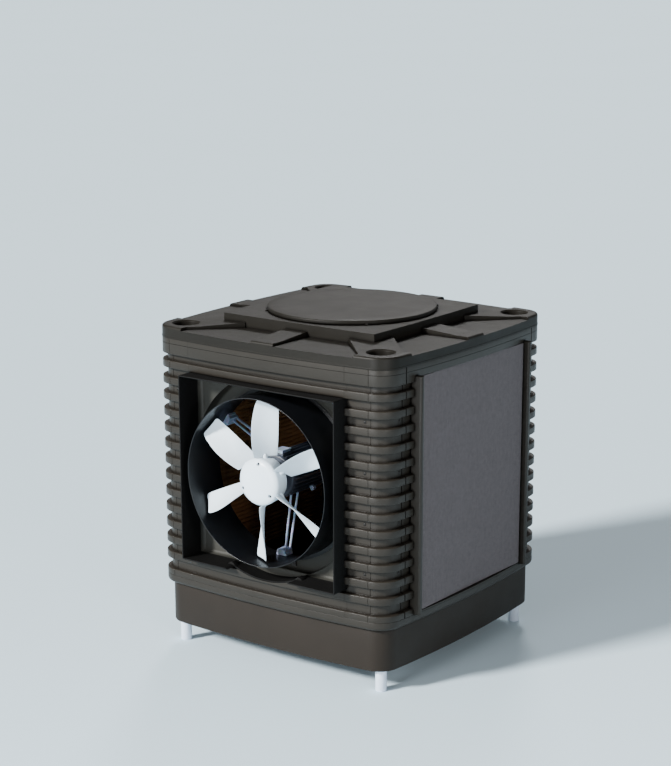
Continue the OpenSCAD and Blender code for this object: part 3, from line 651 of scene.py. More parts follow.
def outer_levels(top, bottom, ribs, head=True, sill=True):
    """Outside of the wall from top to bottom, as (offset, height, rounding)."""
    pts = [(0, top, 0.5 * MM)]
    if head:
        pts += [(0, SEAM_Z + 0.8 * MM, 0), (-1.2 * MM, SEAM_Z + 0.5 * MM, 0),
                (-1.2 * MM, SEAM_Z - 0.5 * MM, 0), (0, SEAM_Z - 0.8 * MM, 0),
                (0, HEAD_Z, EDGE), (-RIB_DEPTH, HEAD_Z, 1.2 * MM)]
    for k in ribs:
        z = rib_z(k)
        pts += [(-RIB_DEPTH, z + RIB_HALF, 1.2 * MM), (0, z + RIB_HALF, EDGE),
                (0, z - RIB_HALF, EDGE), (-RIB_DEPTH, z - RIB_HALF, 1.2 * MM)]
    if sill:
        pts += [(-RIB_DEPTH, SILL_Z, 1.2 * MM), (0, SILL_Z, EDGE), (0, bottom, 0.8 * MM)]
    return pts


def wall_section(ribs):
    """The whole moulded wall: ribs and bands outside, hollow behind."""
    top, bottom = BODY_TOP, BAND_Z + 0.2 * MM
    pts = outer_levels(top, bottom, ribs)
    pts += [(-WALL, bottom, 0), (-WALL, SILL_Z - WALL, 0), (DEEP, SILL_Z - WALL, 0)]
    for k in reversed(ribs):
        for s in (-1, 1):
            inner, outer = (DEEP, rib_z(k) + s * (RIB_HALF - WALL), 0), \
                (-WALL, rib_z(k) + s * (RIB_HALF - WALL), 0)
            pts += [inner, outer] if s < 0 else [outer, inner]
    pts += [(DEEP, HEAD_Z + WALL, 0), (-WALL, HEAD_Z + WALL, 0), (-WALL, top, 0)]
    return rounded(pts)


ALL_RIBS = list(range(RIB_COUNT))
END = 1.0 * MM           # rounding of a panel's end at a seam


def ends(a, b, steps, radius=BODY.radius):
    """Angles from a to b with an extra pair close to the ends, for the rounded seam edges."""
    e = END / radius
    return [a, a + e] + spread(a, b, steps)[1:-1] + [b - e, b]


def column(name, quarter, stub_a, stub_b):
    a = BODY.angle
    near, far = BODY.at(SIDE_SEAM + SEAM_GAP), a * 0.9995
    arc_end = END / BODY.corner
    stations = []
    if stub_a:
        stations += [BODY.side(t, quarter) for t in (near, near + END / BODY.radius, far)]
    else:
        stations += [BODY.round(a + 0.001, quarter), BODY.round(a + arc_end, quarter)]
    stations += [BODY.round(t, quarter) for t in spread(a, math.pi / 2 - a, 18)[0 if stub_a else 1:
                                                                                None if stub_b else -1]]
    if stub_b:
        stations += [BODY.side(t, quarter + 1) for t in (-far, -near - END / BODY.radius, -near)]
    else:
        stations += [BODY.round(math.pi / 2 - a - arc_end, quarter),
                     BODY.round(math.pi / 2 - a - 0.001, quarter)]
    obj = sweep(name, stations, wall_section(ALL_RIBS), end_bevel=0.9 * MM)
    place(obj, "cabinet", "body_plastic", name)


def make_columns():
    column("column_rear_right", 0, True, True)
    column("column_rear_left", 1, True, True)
    column("column_front_left", 2, True, False)
    column("column_front_right", 3, False, True)


def front_stations(x0, x1, steps):
    return [BODY.side(t, 3) for t in ends(BODY.at(x0), BODY.at(x1), steps)]


def pocket_cutter(name, radius, drop_to, y0, y1):
    """The part of the round pocket below a chord, as a solid for cutting."""
    a = math.acos(drop_to / radius)
    arc = [(radius * math.sin(t), -radius * math.cos(t)) for t in spread(-a, a, 48)]
    return extrude(name, arc, y0, y1, fan_plan)


def make_front_panel():
    edge = math.sin(BODY.angle) * BODY.radius - 0.35 * MM
    hole = COLLAR_HALF + 0.3 * MM
    parts = [sweep("jamb", front_stations(*x, 4), wall_section(ALL_RIBS), end_bevel=0.9 * MM)
             for x in ((-edge, -hole), (hole, edge))]
    top = FAN_Z + hole
    ribs = [k for k in ALL_RIBS if rib_z(k) - RIB_HALF > top]
    section = outer_levels(BODY_TOP, top, ribs, sill=False)
    section += [(-RIB_DEPTH, top, 0), (DEEP, top, 0), (DEEP, HEAD_Z + WALL, 0),
                (-WALL, HEAD_Z + WALL, 0), (-WALL, BODY_TOP, 0)]
    parts.append(sweep("head", front_stations(-hole, hole, 10), rounded(section)))
    bottom = FAN_Z - hole
    ribs = [k for k in ALL_RIBS if rib_z(k) + RIB_HALF < bottom]
    section = [(DEEP, bottom, 0)] + [p for p in outer_levels(0, BAND_Z + 0.2 * MM, ribs, head=False)][1:]
    section.insert(1, (-RIB_DEPTH, bottom, 0))
    section += [(-WALL, BAND_Z + 0.2 * MM, 0), (-WALL, SILL_Z - WALL, 0), (DEEP, SILL_Z - WALL, 0)]
    foot = sweep("foot", front_stations(-hole, hole, 10), rounded(section))
    boolean(foot, pocket_cutter("cut", POCKET_R + 4.6 * MM, 0.300, -0.6, -0.4))
    parts.append(foot)
    place(joined("front_panel", parts), "cabinet", "body_plastic", "front_panel")


def opening_stations(x0, x1, quarter, steps=8):
    return [BODY.side(t, quarter) for t in spread(BODY.at(x0), BODY.at(x1), steps)]


def side_frame(name, quarter):
    inner, outer = OPEN_HALF + POST_W / 2, SIDE_SEAM - SEAM_GAP
    e = END / BODY.radius
    parts = []
    for s in (-1, 1):
        ts = [BODY.at(s * inner), BODY.at(s * (inner + outer) / 2), BODY.at(s * outer) - s * e,
              BODY.at(s * outer)]
        stations = [BODY.side(t, quarter) for t in ts]
        obj = sweep("jamb", stations, wall_section(ALL_RIBS))
        bevel_end(obj, stations, 1.4 * MM)
        parts.append(obj)
    head = rounded([(0, BODY_TOP, 0.5 * MM), (0, SEAM_Z + 0.8 * MM, 0),
                    (-1.2 * MM, SEAM_Z + 0.5 * MM, 0), (-1.2 * MM, SEAM_Z - 0.5 * MM, 0),
                    (0, SEAM_Z - 0.8 * MM, 0), (0, OPEN_HIGH, 2.2 * MM), (DEEP, OPEN_HIGH, 0),
                    (DEEP, OPEN_HIGH + 8 * MM, 0), (-WALL, OPEN_HIGH + 8 * MM, 0),
                    (-WALL, BODY_TOP, 0)])
    sill = rounded([(0, OPEN_LOW, 1.6 * MM), (0, BAND_Z + 0.2 * MM, 0.8 * MM),
                    (DEEP, BAND_Z + 0.2 * MM, 0), (DEEP, OPEN_LOW, 0)])
    for section in (head, sill):
        parts.append(sweep("bar", opening_stations(-inner, inner, quarter, 14), section))
    mirror = Matrix.Scale(-1, 4, (0, 1, 0))
    turn = Matrix.Rotation(math.pi / 2 * quarter, 4, "Z")
    # the proud post: a rounded bar whose front edge is a half round
    x0, x1, y0, y1 = 0.500, POST_OUT, OPEN_HALF, OPEN_HALF + POST_W
    plan = rounded([(x0, y0, 0), (x1, y0, 7 * MM), (x1, y1, 7 * MM), (x0, y1, 0)], steps=6)
    post = extrude("post", plan, OPEN_LOW - 5 * MM, OPEN_HIGH + 5 * MM, bevel=2.5 * MM, steps=3)
    for m in (Matrix.Identity(4), mirror):
        parts.append(tidy_mesh(copied(post, turn @ m)))
    drop(post)
    # tunnel that carries the pad
    half, lip = OPEN_HALF, 4.5 * MM
    ring = rounded([(-half, OPEN_LOW, 3 * MM), (half, OPEN_LOW, 3 * MM), (half, OPEN_HIGH, 3 * MM),
                    (-half, OPEN_HIGH, 3 * MM)])
    x0, x1 = low("cooling_pad_right").x - 4 * MM, 508 * MM
    verts, n = [], len(ring)
    for x, d in ((x0, 0), (x0, lip), (x1, lip), (x1, 0.8 * MM), (x1 - 0.8 * MM, 0)):
        verts += [(x, y, z) for y, z in inset(ring, -d)]
    tunnel = new_mesh("tunnel", verts, ring_faces(n, 5, 5))
    parts.append(moved(tunnel, turn))
    place(joined(name, parts), "cabinet", "body_plastic", name)


def bevel_end(obj, stations, size):
    """Draws the last ring of a swept wall in, to round its end edge."""
    p, out = stations[-1]
    for v in obj.data.vertices:
        flat = Vector((v.co.x, v.co.y))
        along = Vector((-out.y, out.x))
        if abs((flat - p).dot(along)) < 0.2 * MM and (flat - p).dot(out) > -RIB_DEPTH + 2 * MM:
            v.co.x -= out.x * size
            v.co.y -= out.y * size
    return obj


def make_side_frames():
    side_frame("side_frame_right", 0)
    side_frame("side_frame_rear", 1)
    side_frame("side_frame_left", 2)


# ---- tank, legs and the frame between tank and cabinet ----
def make_bottom_frame():
    z0, z1 = TANK_TOP, BAND_Z
    section = rounded([(-36 * MM, z1, 0), (0, z1, 1.2 * MM), (0, z0, 13 * MM), (-36 * MM, z0, 0),
                       (-36 * MM, z0 + 6 * MM, 0), (-14 * MM, z0 + 6 * MM, 2 * MM),
                       (-6.2 * MM, z0 + 13 * MM, 2 * MM), (-6.2 * MM, z1 - 4 * MM, 0),
                       (-36 * MM, z1 - 4 * MM, 0)], steps=6)
    obj = sweep("bottom_frame", BODY.whole(), section, closed=True)
    place(obj, "cabinet", "body_plastic", "bottom_frame")


def make_tank():
    z0, z1, t = TANK_Z, TANK_TOP, 4 * MM
    levels = rounded([(-60 * MM, z0, 0), (0, z0, 5 * MM), (0, z1, 0.6 * MM), (-14 * MM, z1, 0.6 * MM),
                      (-14 * MM, z1 - 4 * MM, 0), (-t, z1 - 4 * MM, 0), (-t, z0 + 5 * MM, 6 * MM),
                      (-60 * MM, z0 + 5 * MM, 0)], closed=False, steps=4)
    parts = [stacked("shell", TANK.whole(), levels)]
    leg = high("corner_legs").x - 20 * MM
    socket = rounded([(20.3 * MM, z0 + 4 * MM, 0), (24 * MM, z0 + 4 * MM, 0),
                      (24 * MM, z0 + 104 * MM, 1.5 * MM), (20.3 * MM, z0 + 104 * MM, 1 * MM)])
    cap = rounded([(0.02 * MM, z0 + 101 * MM, 0), (21 * MM, z0 + 101 * MM, 0),
                   (21 * MM, z0 + 103.5 * MM, 1 * MM), (0.02 * MM, z0 + 103.5 * MM, 0)])
    for x in (-leg, leg):
        for y in (-leg, leg):
            parts += [revolve("socket", p, "z", (x, y, 0), 40) for p in (socket, cap)]
    place(joined("base_tank", parts), "cabinet", "tank_plastic", "base_tank")


def make_legs():
    leg = high("corner_legs").x - 20 * MM
    r, wall, h = 20 * MM, 2.4 * MM, TANK_Z + 100 * MM
    tube = rounded([(0.02 * MM, 0, 0), (r, 0, 1.6 * MM), (r, h, 0.5 * MM), (r - wall, h, 0.5 * MM),
                    (r - wall, 3 * MM, 0), (0.02 * MM, 3 * MM, 0)])
    parts = [revolve("leg", tube, "z", (x, y, 0), 56) for x in (-leg, leg) for y in (-leg, leg)]
    place(joined("corner_legs", parts), "cabinet", "leg_pvc", "corner_legs")


# ---- lid ----
def bowed_square(half, bow, corner, steps=10):
    """A square with slightly bowed sides and small rounded corners."""
    pts = []
    for q in range(4):
        for i in range(steps):
            t = -1 + 2 * i / steps
            p = turned(Vector((half + bow * (1 - t * t), t * half)), q)
            pts.append((p.x, p.y, 0 if i else corner))
    return rounded(pts)


def wedge(name, outline, top):
    """A solid over an outline whose top follows top(x, y)."""
    n = len(outline)
    base = LID_PAD - 4 * MM
    verts = [(x, y, base) for x, y in outline] + [(x, y, top(x, y)) for x, y in outline]
    faces = [(j, (j + 1) % n, n + (j + 1) % n, n + j) for j in range(n)]
    faces += [tuple(reversed(range(n))), tuple(range(n, 2 * n))]
    return new_mesh(name, verts, faces, 30)


def quarter_turns(outline):
    return [[tuple(turned(Vector(p), q)) for p in outline] for q in range(4)]


def make_lid():
    rim = rounded([(-60 * MM, LID_PAD, 0), (0, LID_PAD, 9 * MM), (0, BODY_TOP + 6 * MM, 0.8 * MM),
                   (1 * MM, BODY_TOP + 5 * MM, 0.6 * MM), (1 * MM, BODY_TOP + 0.2 * MM, 0.8 * MM),
                   (-WALL, BODY_TOP + 0.2 * MM, 0), (-WALL, LID_RIM - 5 * MM, 0),
                   (-60 * MM, LID_RIM - 5 * MM, 0)], closed=False, steps=5)
    lid = stacked("lid", BODY.whole(16, 16), rim, 30)
    # corner ramps and middle straps climb to the plate
    h = PLATE_HALF
    ramp = [(0.225, 0.290), (0.290, 0.290), (0.290, 0.225), (0.334, 0.225), (0.472, 0.365),
            (0.365, 0.472), (0.225, 0.334)]
    strap = [(h - 5 * MM, -0.048), (0.480, -0.048), (0.480, 0.048), (h - 5 * MM, 0.048)]

    def ramp_top(x, y):
        out = (abs(x) + abs(y)) / math.sqrt(2)
        return LID_PAD + 9 * MM - max(0, out - 0.40) * 0.055 - (0.6 * MM if out > 0.55 else 0)

    def strap_top(x, y):
        out = max(abs(x), abs(y))
        return LID_PAD + 0.2 * MM + (0.480 - out) / (0.480 - h) * 9.5 * MM

    for outline in quarter_turns(strap):
        boolean(lid, wedge("strap", outline, strap_top), "UNION")
    pocket = [(h + 0.5 * MM, 0.048), (0.60, 0.048), (0.60, 0.372), (0.482, 0.372), (0.334, 0.225),
              (h + 0.5 * MM, 0.225)]
    for s in (1, -1):
        for outline in quarter_turns([(x, s * y) for x, y in pocket]):
            boolean(lid, extrude("pocket", outline, LID_RIM, LID_RIM + 60 * MM))
    for outline in quarter_turns(ramp):
        boolean(lid, wedge("ramp", outline, ramp_top), "UNION")
    plate = extrude("plate", bowed_square(h, 5 * MM, 2.5 * MM), LID_RIM - 1 * MM, PLATE_TOP)
    boolean(lid, plate, "UNION")
    for x in (-CUP_AT, CUP_AT):
        for y in (-CUP_AT, CUP_AT):
            pot = rounded([(0.01 * MM, BODY_TOP + 9 * MM, 0), (CUP_R + 3 * MM, BODY_TOP + 9 * MM, 3 * MM),
                           (CUP_R + 3 * MM, LID_PAD - 4 * MM, 0), (0.01 * MM, LID_PAD - 4 * MM, 0)])
            boolean(lid, revolve("pot", pot, "z", (x, y, 0), 48), "UNION")
            hollow = rounded([(0.01 * MM, BODY_TOP + 12.5 * MM, 0), (CUP_R - 4 * MM, BODY_TOP + 12.5 * MM,
                              4 * MM), (CUP_R - 4 * MM, LID_PAD - 5 * MM, 2 * MM),
                              (CUP_R + 1 * MM, LID_PAD - 1 * MM, 1 * MM),
                              (CUP_R + 1 * MM, LID_PAD + 30 * MM, 0), (0.01 * MM, LID_PAD + 30 * MM, 0)])
            boolean(lid, revolve("hollow", hollow, "z", (x, y, 0), 64))
    groove = rounded([(DISC_R - 8 * MM, PLATE_TOP - 3.5 * MM, 1 * MM), (DISC_R + 4 * MM,
                      PLATE_TOP - 3.5 * MM, 1 * MM), (DISC_R + 4 * MM, PLATE_TOP + 6 * MM, 0),
                      (DISC_R - 8 * MM, PLATE_TOP + 6 * MM, 0)])
    boolean(lid, revolve("groove", groove, "z", steps=144))
    bevel = lid.modifiers.new("soft edges", "BEVEL")
    bevel.width, bevel.segments, bevel.limit_method = 1.8 * MM, 2, "ANGLE"
    bevel.angle_limit = math.radians(38)
    bake_modifiers(lid)
    lid.data.shade_smooth()
    lid.data.set_sharp_from_angle(angle=math.radians(32))
    place(lid, "lid_cover", "lid_plastic", "lid")


def make_disc():
    z, r = PLATE_TOP, DISC_R
    top = DISC_TOP
    profile = rounded([(0.02 * MM, z, 0), (r - 8.3 * MM, z, 0), (r - 8.3 * MM, z + 2 * MM, 0),
                       (r, z + 2.4 * MM, 1 * MM), (r, top - 1 * MM, 5 * MM), (r - 40 * MM, top, 10 * MM),
                       (0.02 * MM, top, 0)], steps=5)
    disc = revolve("lid_disc", profile, "z", steps=160)
    # four small raised ticks beside the rim, on the diagonals
    tick = rounded([(r - 2 * MM, -4 * MM, 0), (r + 10 * MM, -4 * MM, 2 * MM), (r + 10 * MM, 4 * MM, 2 * MM),
                    (r - 2 * MM, 4 * MM, 0)])
    ticks = [moved(extrude("tick", tick, z - 0.5 * MM, z + 5 * MM, bevel=1.5 * MM, steps=2),
                   spin("Z", 45 + 90 * i)) for i in range(4)]
    disc = joined("lid_disc", [disc] + ticks)
    place(disc, "lid_cover", "lid_plastic", "lid_disc")


# ---- outlet collar, back plate and fan ring ----
def make_collar():
    h, t, y0, y1 = COLLAR_HALF, 4.5 * MM, COLLAR_FRONT, VENTURI_Y
    section = rounded([(0, y0, 1.6 * MM), (t, y0, 1.2 * MM), (t, y1, 0), (0, y1, 0)])
    shell = loop_sweep("duct_collar", collar_square(), section)
    boolean(shell, pocket_cutter("cut", POCKET_R + 0.5 * MM, 0.330, -0.6, -0.4))
    # the round pocket bulges below the square, with a lip at each end
    low_edge = h - t
    a = math.acos((low_edge + 1 * MM) / POCKET_R)
    face = -BODY.side(0)[0].x + 2 * MM
    arc = [(math.sin(u), -math.cos(u)) for u in spread(-a, a, 48)]
    ring = [(x * (POCKET_R + 4.2 * MM), z * (POCKET_R + 4.2 * MM)) for x, z in arc] \
        + [(x * POCKET_R, z * POCKET_R) for x, z in reversed(arc)]
    parts = [shell, extrude("bulge", ring, face, y1, fan_plan, bevel=0.6 * MM, steps=1)]
    for s in (-1, 1):
        lip = rounded([(s * 130 * MM, -low_edge - 4 * MM, 0), (s * 168 * MM, -low_edge - 3 * MM, 1 * MM),
                       (s * 158 * MM, -low_edge + 6 * MM, 2 * MM), (s * 146 * MM, -low_edge + 10 * MM, 2 * MM),
                       (s * 136 * MM, -low_edge + 2 * MM, 1 * MM)])
        parts.append(extrude("lip", lip, face, -0.5, fan_plan, bevel=1 * MM))
    place(joined("duct_collar", parts), "cabinet", "duct_plastic", "duct_collar")


def collar_square():
    h, r = COLLAR_HALF, 5 * MM
    return rounded([(-h, -h, r), (h, -h, r), (h, h, r), (-h, h, r)], steps=5)


def plate_fillet():
    """The cove between the back plate and the collar's walls, cut away by the round pocket."""
    t, y1, r = 4.6 * MM, VENTURI_Y + 0.3 * MM, 15 * MM
    curve = [(t + r - r * math.sin(a), y1 - r + r * math.cos(a)) for a in spread(0, math.pi / 2, 8)]
    fillet = loop_sweep("fillet", collar_square(), curve + [(t, y1)])
    bore = revolve("bore", [(0.01 * MM, -0.50), (POCKET_R + 1 * MM, -0.50), (POCKET_R + 1 * MM, -0.40),
                            (0.01 * MM, -0.40)], "y", (0, 0, FAN_Z), 144)
    return boolean(fillet, bore)


def loop_sweep(name, path, section):
    """Carries a closed (inset, y) section round a closed path in the plane of the fan."""
    n, m, verts = len(path), len(section), []
    rows = {d: inset(path, d) for d, _ in section}
    for i in range(n):
        verts += [fan_plan(*rows[d][i], y) for d, y in section]
    return new_mesh(name, verts, ring_faces(m, n, n))


def square_reach(half, a):
    return half / max(abs(math.cos(a)), abs(math.sin(a)))


def make_venturi():
    steps, y = 256, VENTURI_Y
    angles = [math.radians(45) + 2 * math.pi * i / steps for i in range(steps)]
    square = COLLAR_HALF - 0.3 * MM
    profile = []
    for a in angles:
        reach = min(POCKET_R, square_reach(square - 4.3 * MM, a))
        outer = max(POCKET_R + 3.5 * MM, square_reach(square, a))
        r = 3 * MM
        loop = [(outer, y), (reach + r, y), (reach + 0.3 * r, y + 0.3 * r), (reach, y + r),
                (POCKET_R, y + 4 * MM), (POCKET_R, FLOOR_Y - 6 * MM), (POCKET_R - 2 * MM, FLOOR_Y - 2 * MM),
                (POCKET_R - 6 * MM, FLOOR_Y), (RING_R + 0.4 * MM, FLOOR_Y),
                (RING_R + 0.4 * MM, FLOOR_Y + 3.5 * MM),
                (POCKET_R + 3.5 * MM, FLOOR_Y + 3.5 * MM), (POCKET_R + 3.5 * MM, y + 4.5 * MM),
                (outer, y + 4 * MM)]
        profile.append([(rr * math.cos(a), h, rr * math.sin(a) + FAN_Z) for rr, h in loop])
    m = len(profile[0])
    faces = ring_faces(m, steps, steps)
    plate = new_mesh("venturi_plate", [p for ring in profile for p in ring], faces, 35)
    place(joined("venturi_plate", [plate, plate_fillet()]), "cabinet", "duct_plastic", "venturi_plate",
          look="plate_plastic")


def make_ring():
    r, y0 = RING_R, RING_FRONT
    back = high("fan_ring").y
    profile = rounded([(r - 3 * MM, back, 1 * MM), (r - 3 * MM, y0, 1.4 * MM), (r, y0, 1.4 * MM),
                       (r, FLOOR_Y - 3 * MM, 1 * MM), (r + 14 * MM, FLOOR_Y - 3 * MM, 1 * MM),
                       (r + 14 * MM, FLOOR_Y, 1 * MM), (r, FLOOR_Y, 1 * MM), (r, back, 1 * MM)], steps=3)
    obj = revolve("fan_ring", profile, "y", (0, 0, FAN_Z), 192)
    place(obj, "cabinet", "duct_plastic", "fan_ring", look="ring_plastic")


# ---- fan ----
BLADES = 6
BLADE_Y = HUB_FRONT + 48.5 * MM      # the pitch axes
BLADE_TURN = 1.7                     # angle of the first blade from the vertical
PITCH, TWIST, PITCH_AT = 46.6, 17.7, 190 * MM
CAMBER_R, TIP_R, BLADE_T = 157 * MM, 288 * MM, 3 * MM
SCREW_R, SCREW_TURN = HUB_R - 16 * MM, 5.5
# radius, front edge and rear edge of a blade, in millimetres
STATIONS = ((HUB_R / MM + 2, -45, 45), (110, -49, 45), (130, -50.5, 45), (150, -51, 45), (170, -50.5, 45),
            (190, -49.5, 45), (210, -47.2, 45), (230, -44, 45), (246, -40.5, 45), (262, -37, 45),
            (277, -32.5, 44.6), (284, -29, 42.5), (287, -26, 39), (288, -23, 35.5))


def dome_point(share):
    """A point of the hub's blunt dome; share runs from the axis to the rim."""
    depth = 22 * MM * (1 - math.sqrt(max(1 - share ** 3.6, 0)))
    return max(HUB_R * share, 0.02 * MM), HUB_FRONT + depth


def make_hub():
    r, y0, y1 = HUB_R, HUB_FRONT, HUB_BACK
    dome = [dome_point(math.sin(a)) for a in spread(0, math.pi / 2, 26)]
    back = rounded([(r, y0 + 28 * MM, 0), (r - 5 * MM, y1 - 8 * MM, 6 * MM), (r - 13 * MM, y1, 3 * MM),
                    (r - 20 * MM, y1, 2 * MM), (r - 22 * MM, y1 - 3 * MM, 1 * MM),
                    (0.02 * MM, y1 - 3 * MM, 0)],
                   closed=False)
    hub = revolve("fan_hub", dome + back, "y", (0, 0, FAN_Z), 128, sharp=50)
    floor = y0 + 14 * MM
    seat = rounded([(0.01 * MM, floor, 0), (5.8 * MM, floor, 0), (6 * MM, y0 + 6.6 * MM, 0),
                    (8.2 * MM, y0 - 1 * MM, 2 * MM), (8.2 * MM, y0 - 5 * MM, 0), (0.01 * MM, y0 - 5 * MM, 0)])
    for i in range(3):
        tool = revolve("seat", seat, "y", (0, 0, FAN_Z + SCREW_R), 32)
        boolean(hub, moved(tool, spin("Y", SCREW_TURN + 120 * i, (0, 0, FAN_Z))))
    tidy_mesh(hub, 38)
    place(hub, "fan", "fan_white", "fan_hub")


def make_hub_screws():
    """Pan heads with a cross recess, down in the hub's three seats."""
    parts = []
    for i in range(3):
        head = screw_head(4.9 * MM, 3.9 * MM)
        head.data.transform(Matrix.Rotation(math.radians(90), 4, "X"))
        moved(head, shift(0, HUB_FRONT + 13.95 * MM, FAN_Z + SCREW_R))
        parts.append(moved(head, spin("Y", SCREW_TURN + 120 * i, (0, 0, FAN_Z))))
    place(joined("hub_screws", parts), "fan", "steel", "hub_screws", look="screw_black")


def screw_head(radius, height):
    """A domed head that faces +Z, with a cross recess cut in it."""
    dome = [(0.02 * MM, 0), (radius, 0), (radius, height * 0.35)]
    dome += [(radius * math.cos(a), height * (0.35 + 0.65 * math.sin(a)))
             for a in spread(0.25, math.pi / 2 - 0.02, 5)]
    head = revolve("head", dome, "z", steps=24)
    for turn in (0, 90):
        slot = box_mesh("slot", (-radius * 0.6, -radius * 0.11, height * 0.55),
                        (radius * 0.6, radius * 0.11, height * 2), bevel=0.05 * MM, steps=1)
        boolean(head, moved(slot, Matrix.Rotation(math.radians(turn), 4, "Z")))
    return head


def edge_at(r, column):
    """The blade's front or rear edge at a radius, through its stations by a smooth curve."""
    pts = [(row[0] * MM, row[column] * MM) for row in STATIONS]
    for i in range(len(pts) - 1):
        (a, p), (b, q) = pts[i], pts[i + 1]
        if r <= b:
            before, after = pts[max(i - 1, 0)], pts[min(i + 2, len(pts) - 1)]
            k, span = (r - a) / (b - a), b - a
            m0 = (q - before[1]) / (b - before[0]) * span
            m1 = (after[1] - p) / (after[0] - a) * span
            return ((2 * k ** 3 - 3 * k * k + 1) * p + (k ** 3 - 2 * k * k + k) * m0
                    + (3 * k * k - 2 * k ** 3) * q + (k ** 3 - k * k) * m1)
    return pts[-1][1]


def blade_point(r, v, side):
    """v runs from the front to the rear edge, 0 to 1; side is which face of the blade."""
    x = edge_at(r, 1) * (1 - v) + edge_at(r, 2) * v
    pitch = math.radians(PITCH - TWIST * (r - PITCH_AT) / (100 * MM))
    rim = min(v, 1 - v)
    thick = BLADE_T * (0.28 + 0.72 * min(rim / 0.12, 1) ** 0.5) * (1 - 0.25 * max(r / TIP_R - 0.7, 0) / 0.3)
    if r > TIP_R - 1 * MM:
        thick *= 0.5
    y = -x * x / (2 * CAMBER_R) + side * thick / 2
    return (x * math.cos(pitch) - y * math.sin(pitch),
            BLADE_Y + x * math.sin(pitch) + y * math.cos(pitch), r)


def blade_matrix(i):
    return shift(0, 0, FAN_Z) @ Matrix.Rotation(math.radians(60 * i + BLADE_TURN), 4, "Y")


def make_blades():
    root = STATIONS[0][0] * MM
    rows = [root + (TIP_R - root) * u for u in (0, 0.01, 0.04, 0.08, 0.14, 0.2, 0.28, 0.36, 0.44, 0.52, 0.6,
            0.68, 0.76, 0.83, 0.89, 0.93, 0.95, 0.965, 0.978, 0.988, 0.994, 0.9975, 1)]
    cols = [0, 0.012, 0.03, 0.06, 0.12, 0.2, 0.3, 0.4, 0.5, 0.6, 0.7, 0.8, 0.88, 0.94, 0.97, 0.988, 1]
    verts = [blade_point(r, v, side) for side in (-1, 1) for r in rows for v in cols]
    blade = new_mesh("blade", verts, two_sided(len(rows), len(cols)), 60)
    for i in range(BLADES):
        name = f"fan_blade_{i + 1}"
        place(copied(blade, blade_matrix(i), name), "fan", "fan_white", name)
    drop(blade)


def make_clamps():
    """Conical bosses that grip the blade roots, split by the blade."""
    root_pitch = PITCH - TWIST * (HUB_R + 8 * MM - PITCH_AT) / (100 * MM)
    cone = revolve("cone", rounded([(0.02 * MM, HUB_R - 3 * MM, 0), (10.7 * MM, HUB_R - 3 * MM, 0),
                                    (5 * MM, HUB_R + 13 * MM, 2 * MM), (0.02 * MM, HUB_R + 13 * MM, 0)]),
                   "z", (0, 0, 0), 36)
    slot = box_mesh("slot", (-20 * MM, -2.4 * MM, HUB_R - 8 * MM), (20 * MM, 2.4 * MM, HUB_R + 20 * MM),
                    bevel=0.1 * MM, steps=1)
    boolean(cone, slot)
    moved(cone, shift(0, BLADE_Y, 0) @ Matrix.Rotation(math.radians(root_pitch), 4, "Z"))
    parts = [copied(cone, blade_matrix(i)) for i in range(BLADES)]
    drop(cone)
    place(joined("blade_clamps", parts), "fan", "fan_white", "blade_clamps")


# ---- motor ----
ARM_ANGLES = (-56, 56, 180)          # from straight up, clockwise seen from the front
SEAT_HALF, SEAT_FRONT, SEAT_BACK = 15 * MM, -378 * MM, -315 * MM
KNOB_ANGLE, KNOB_Y = 135, -324 * MM


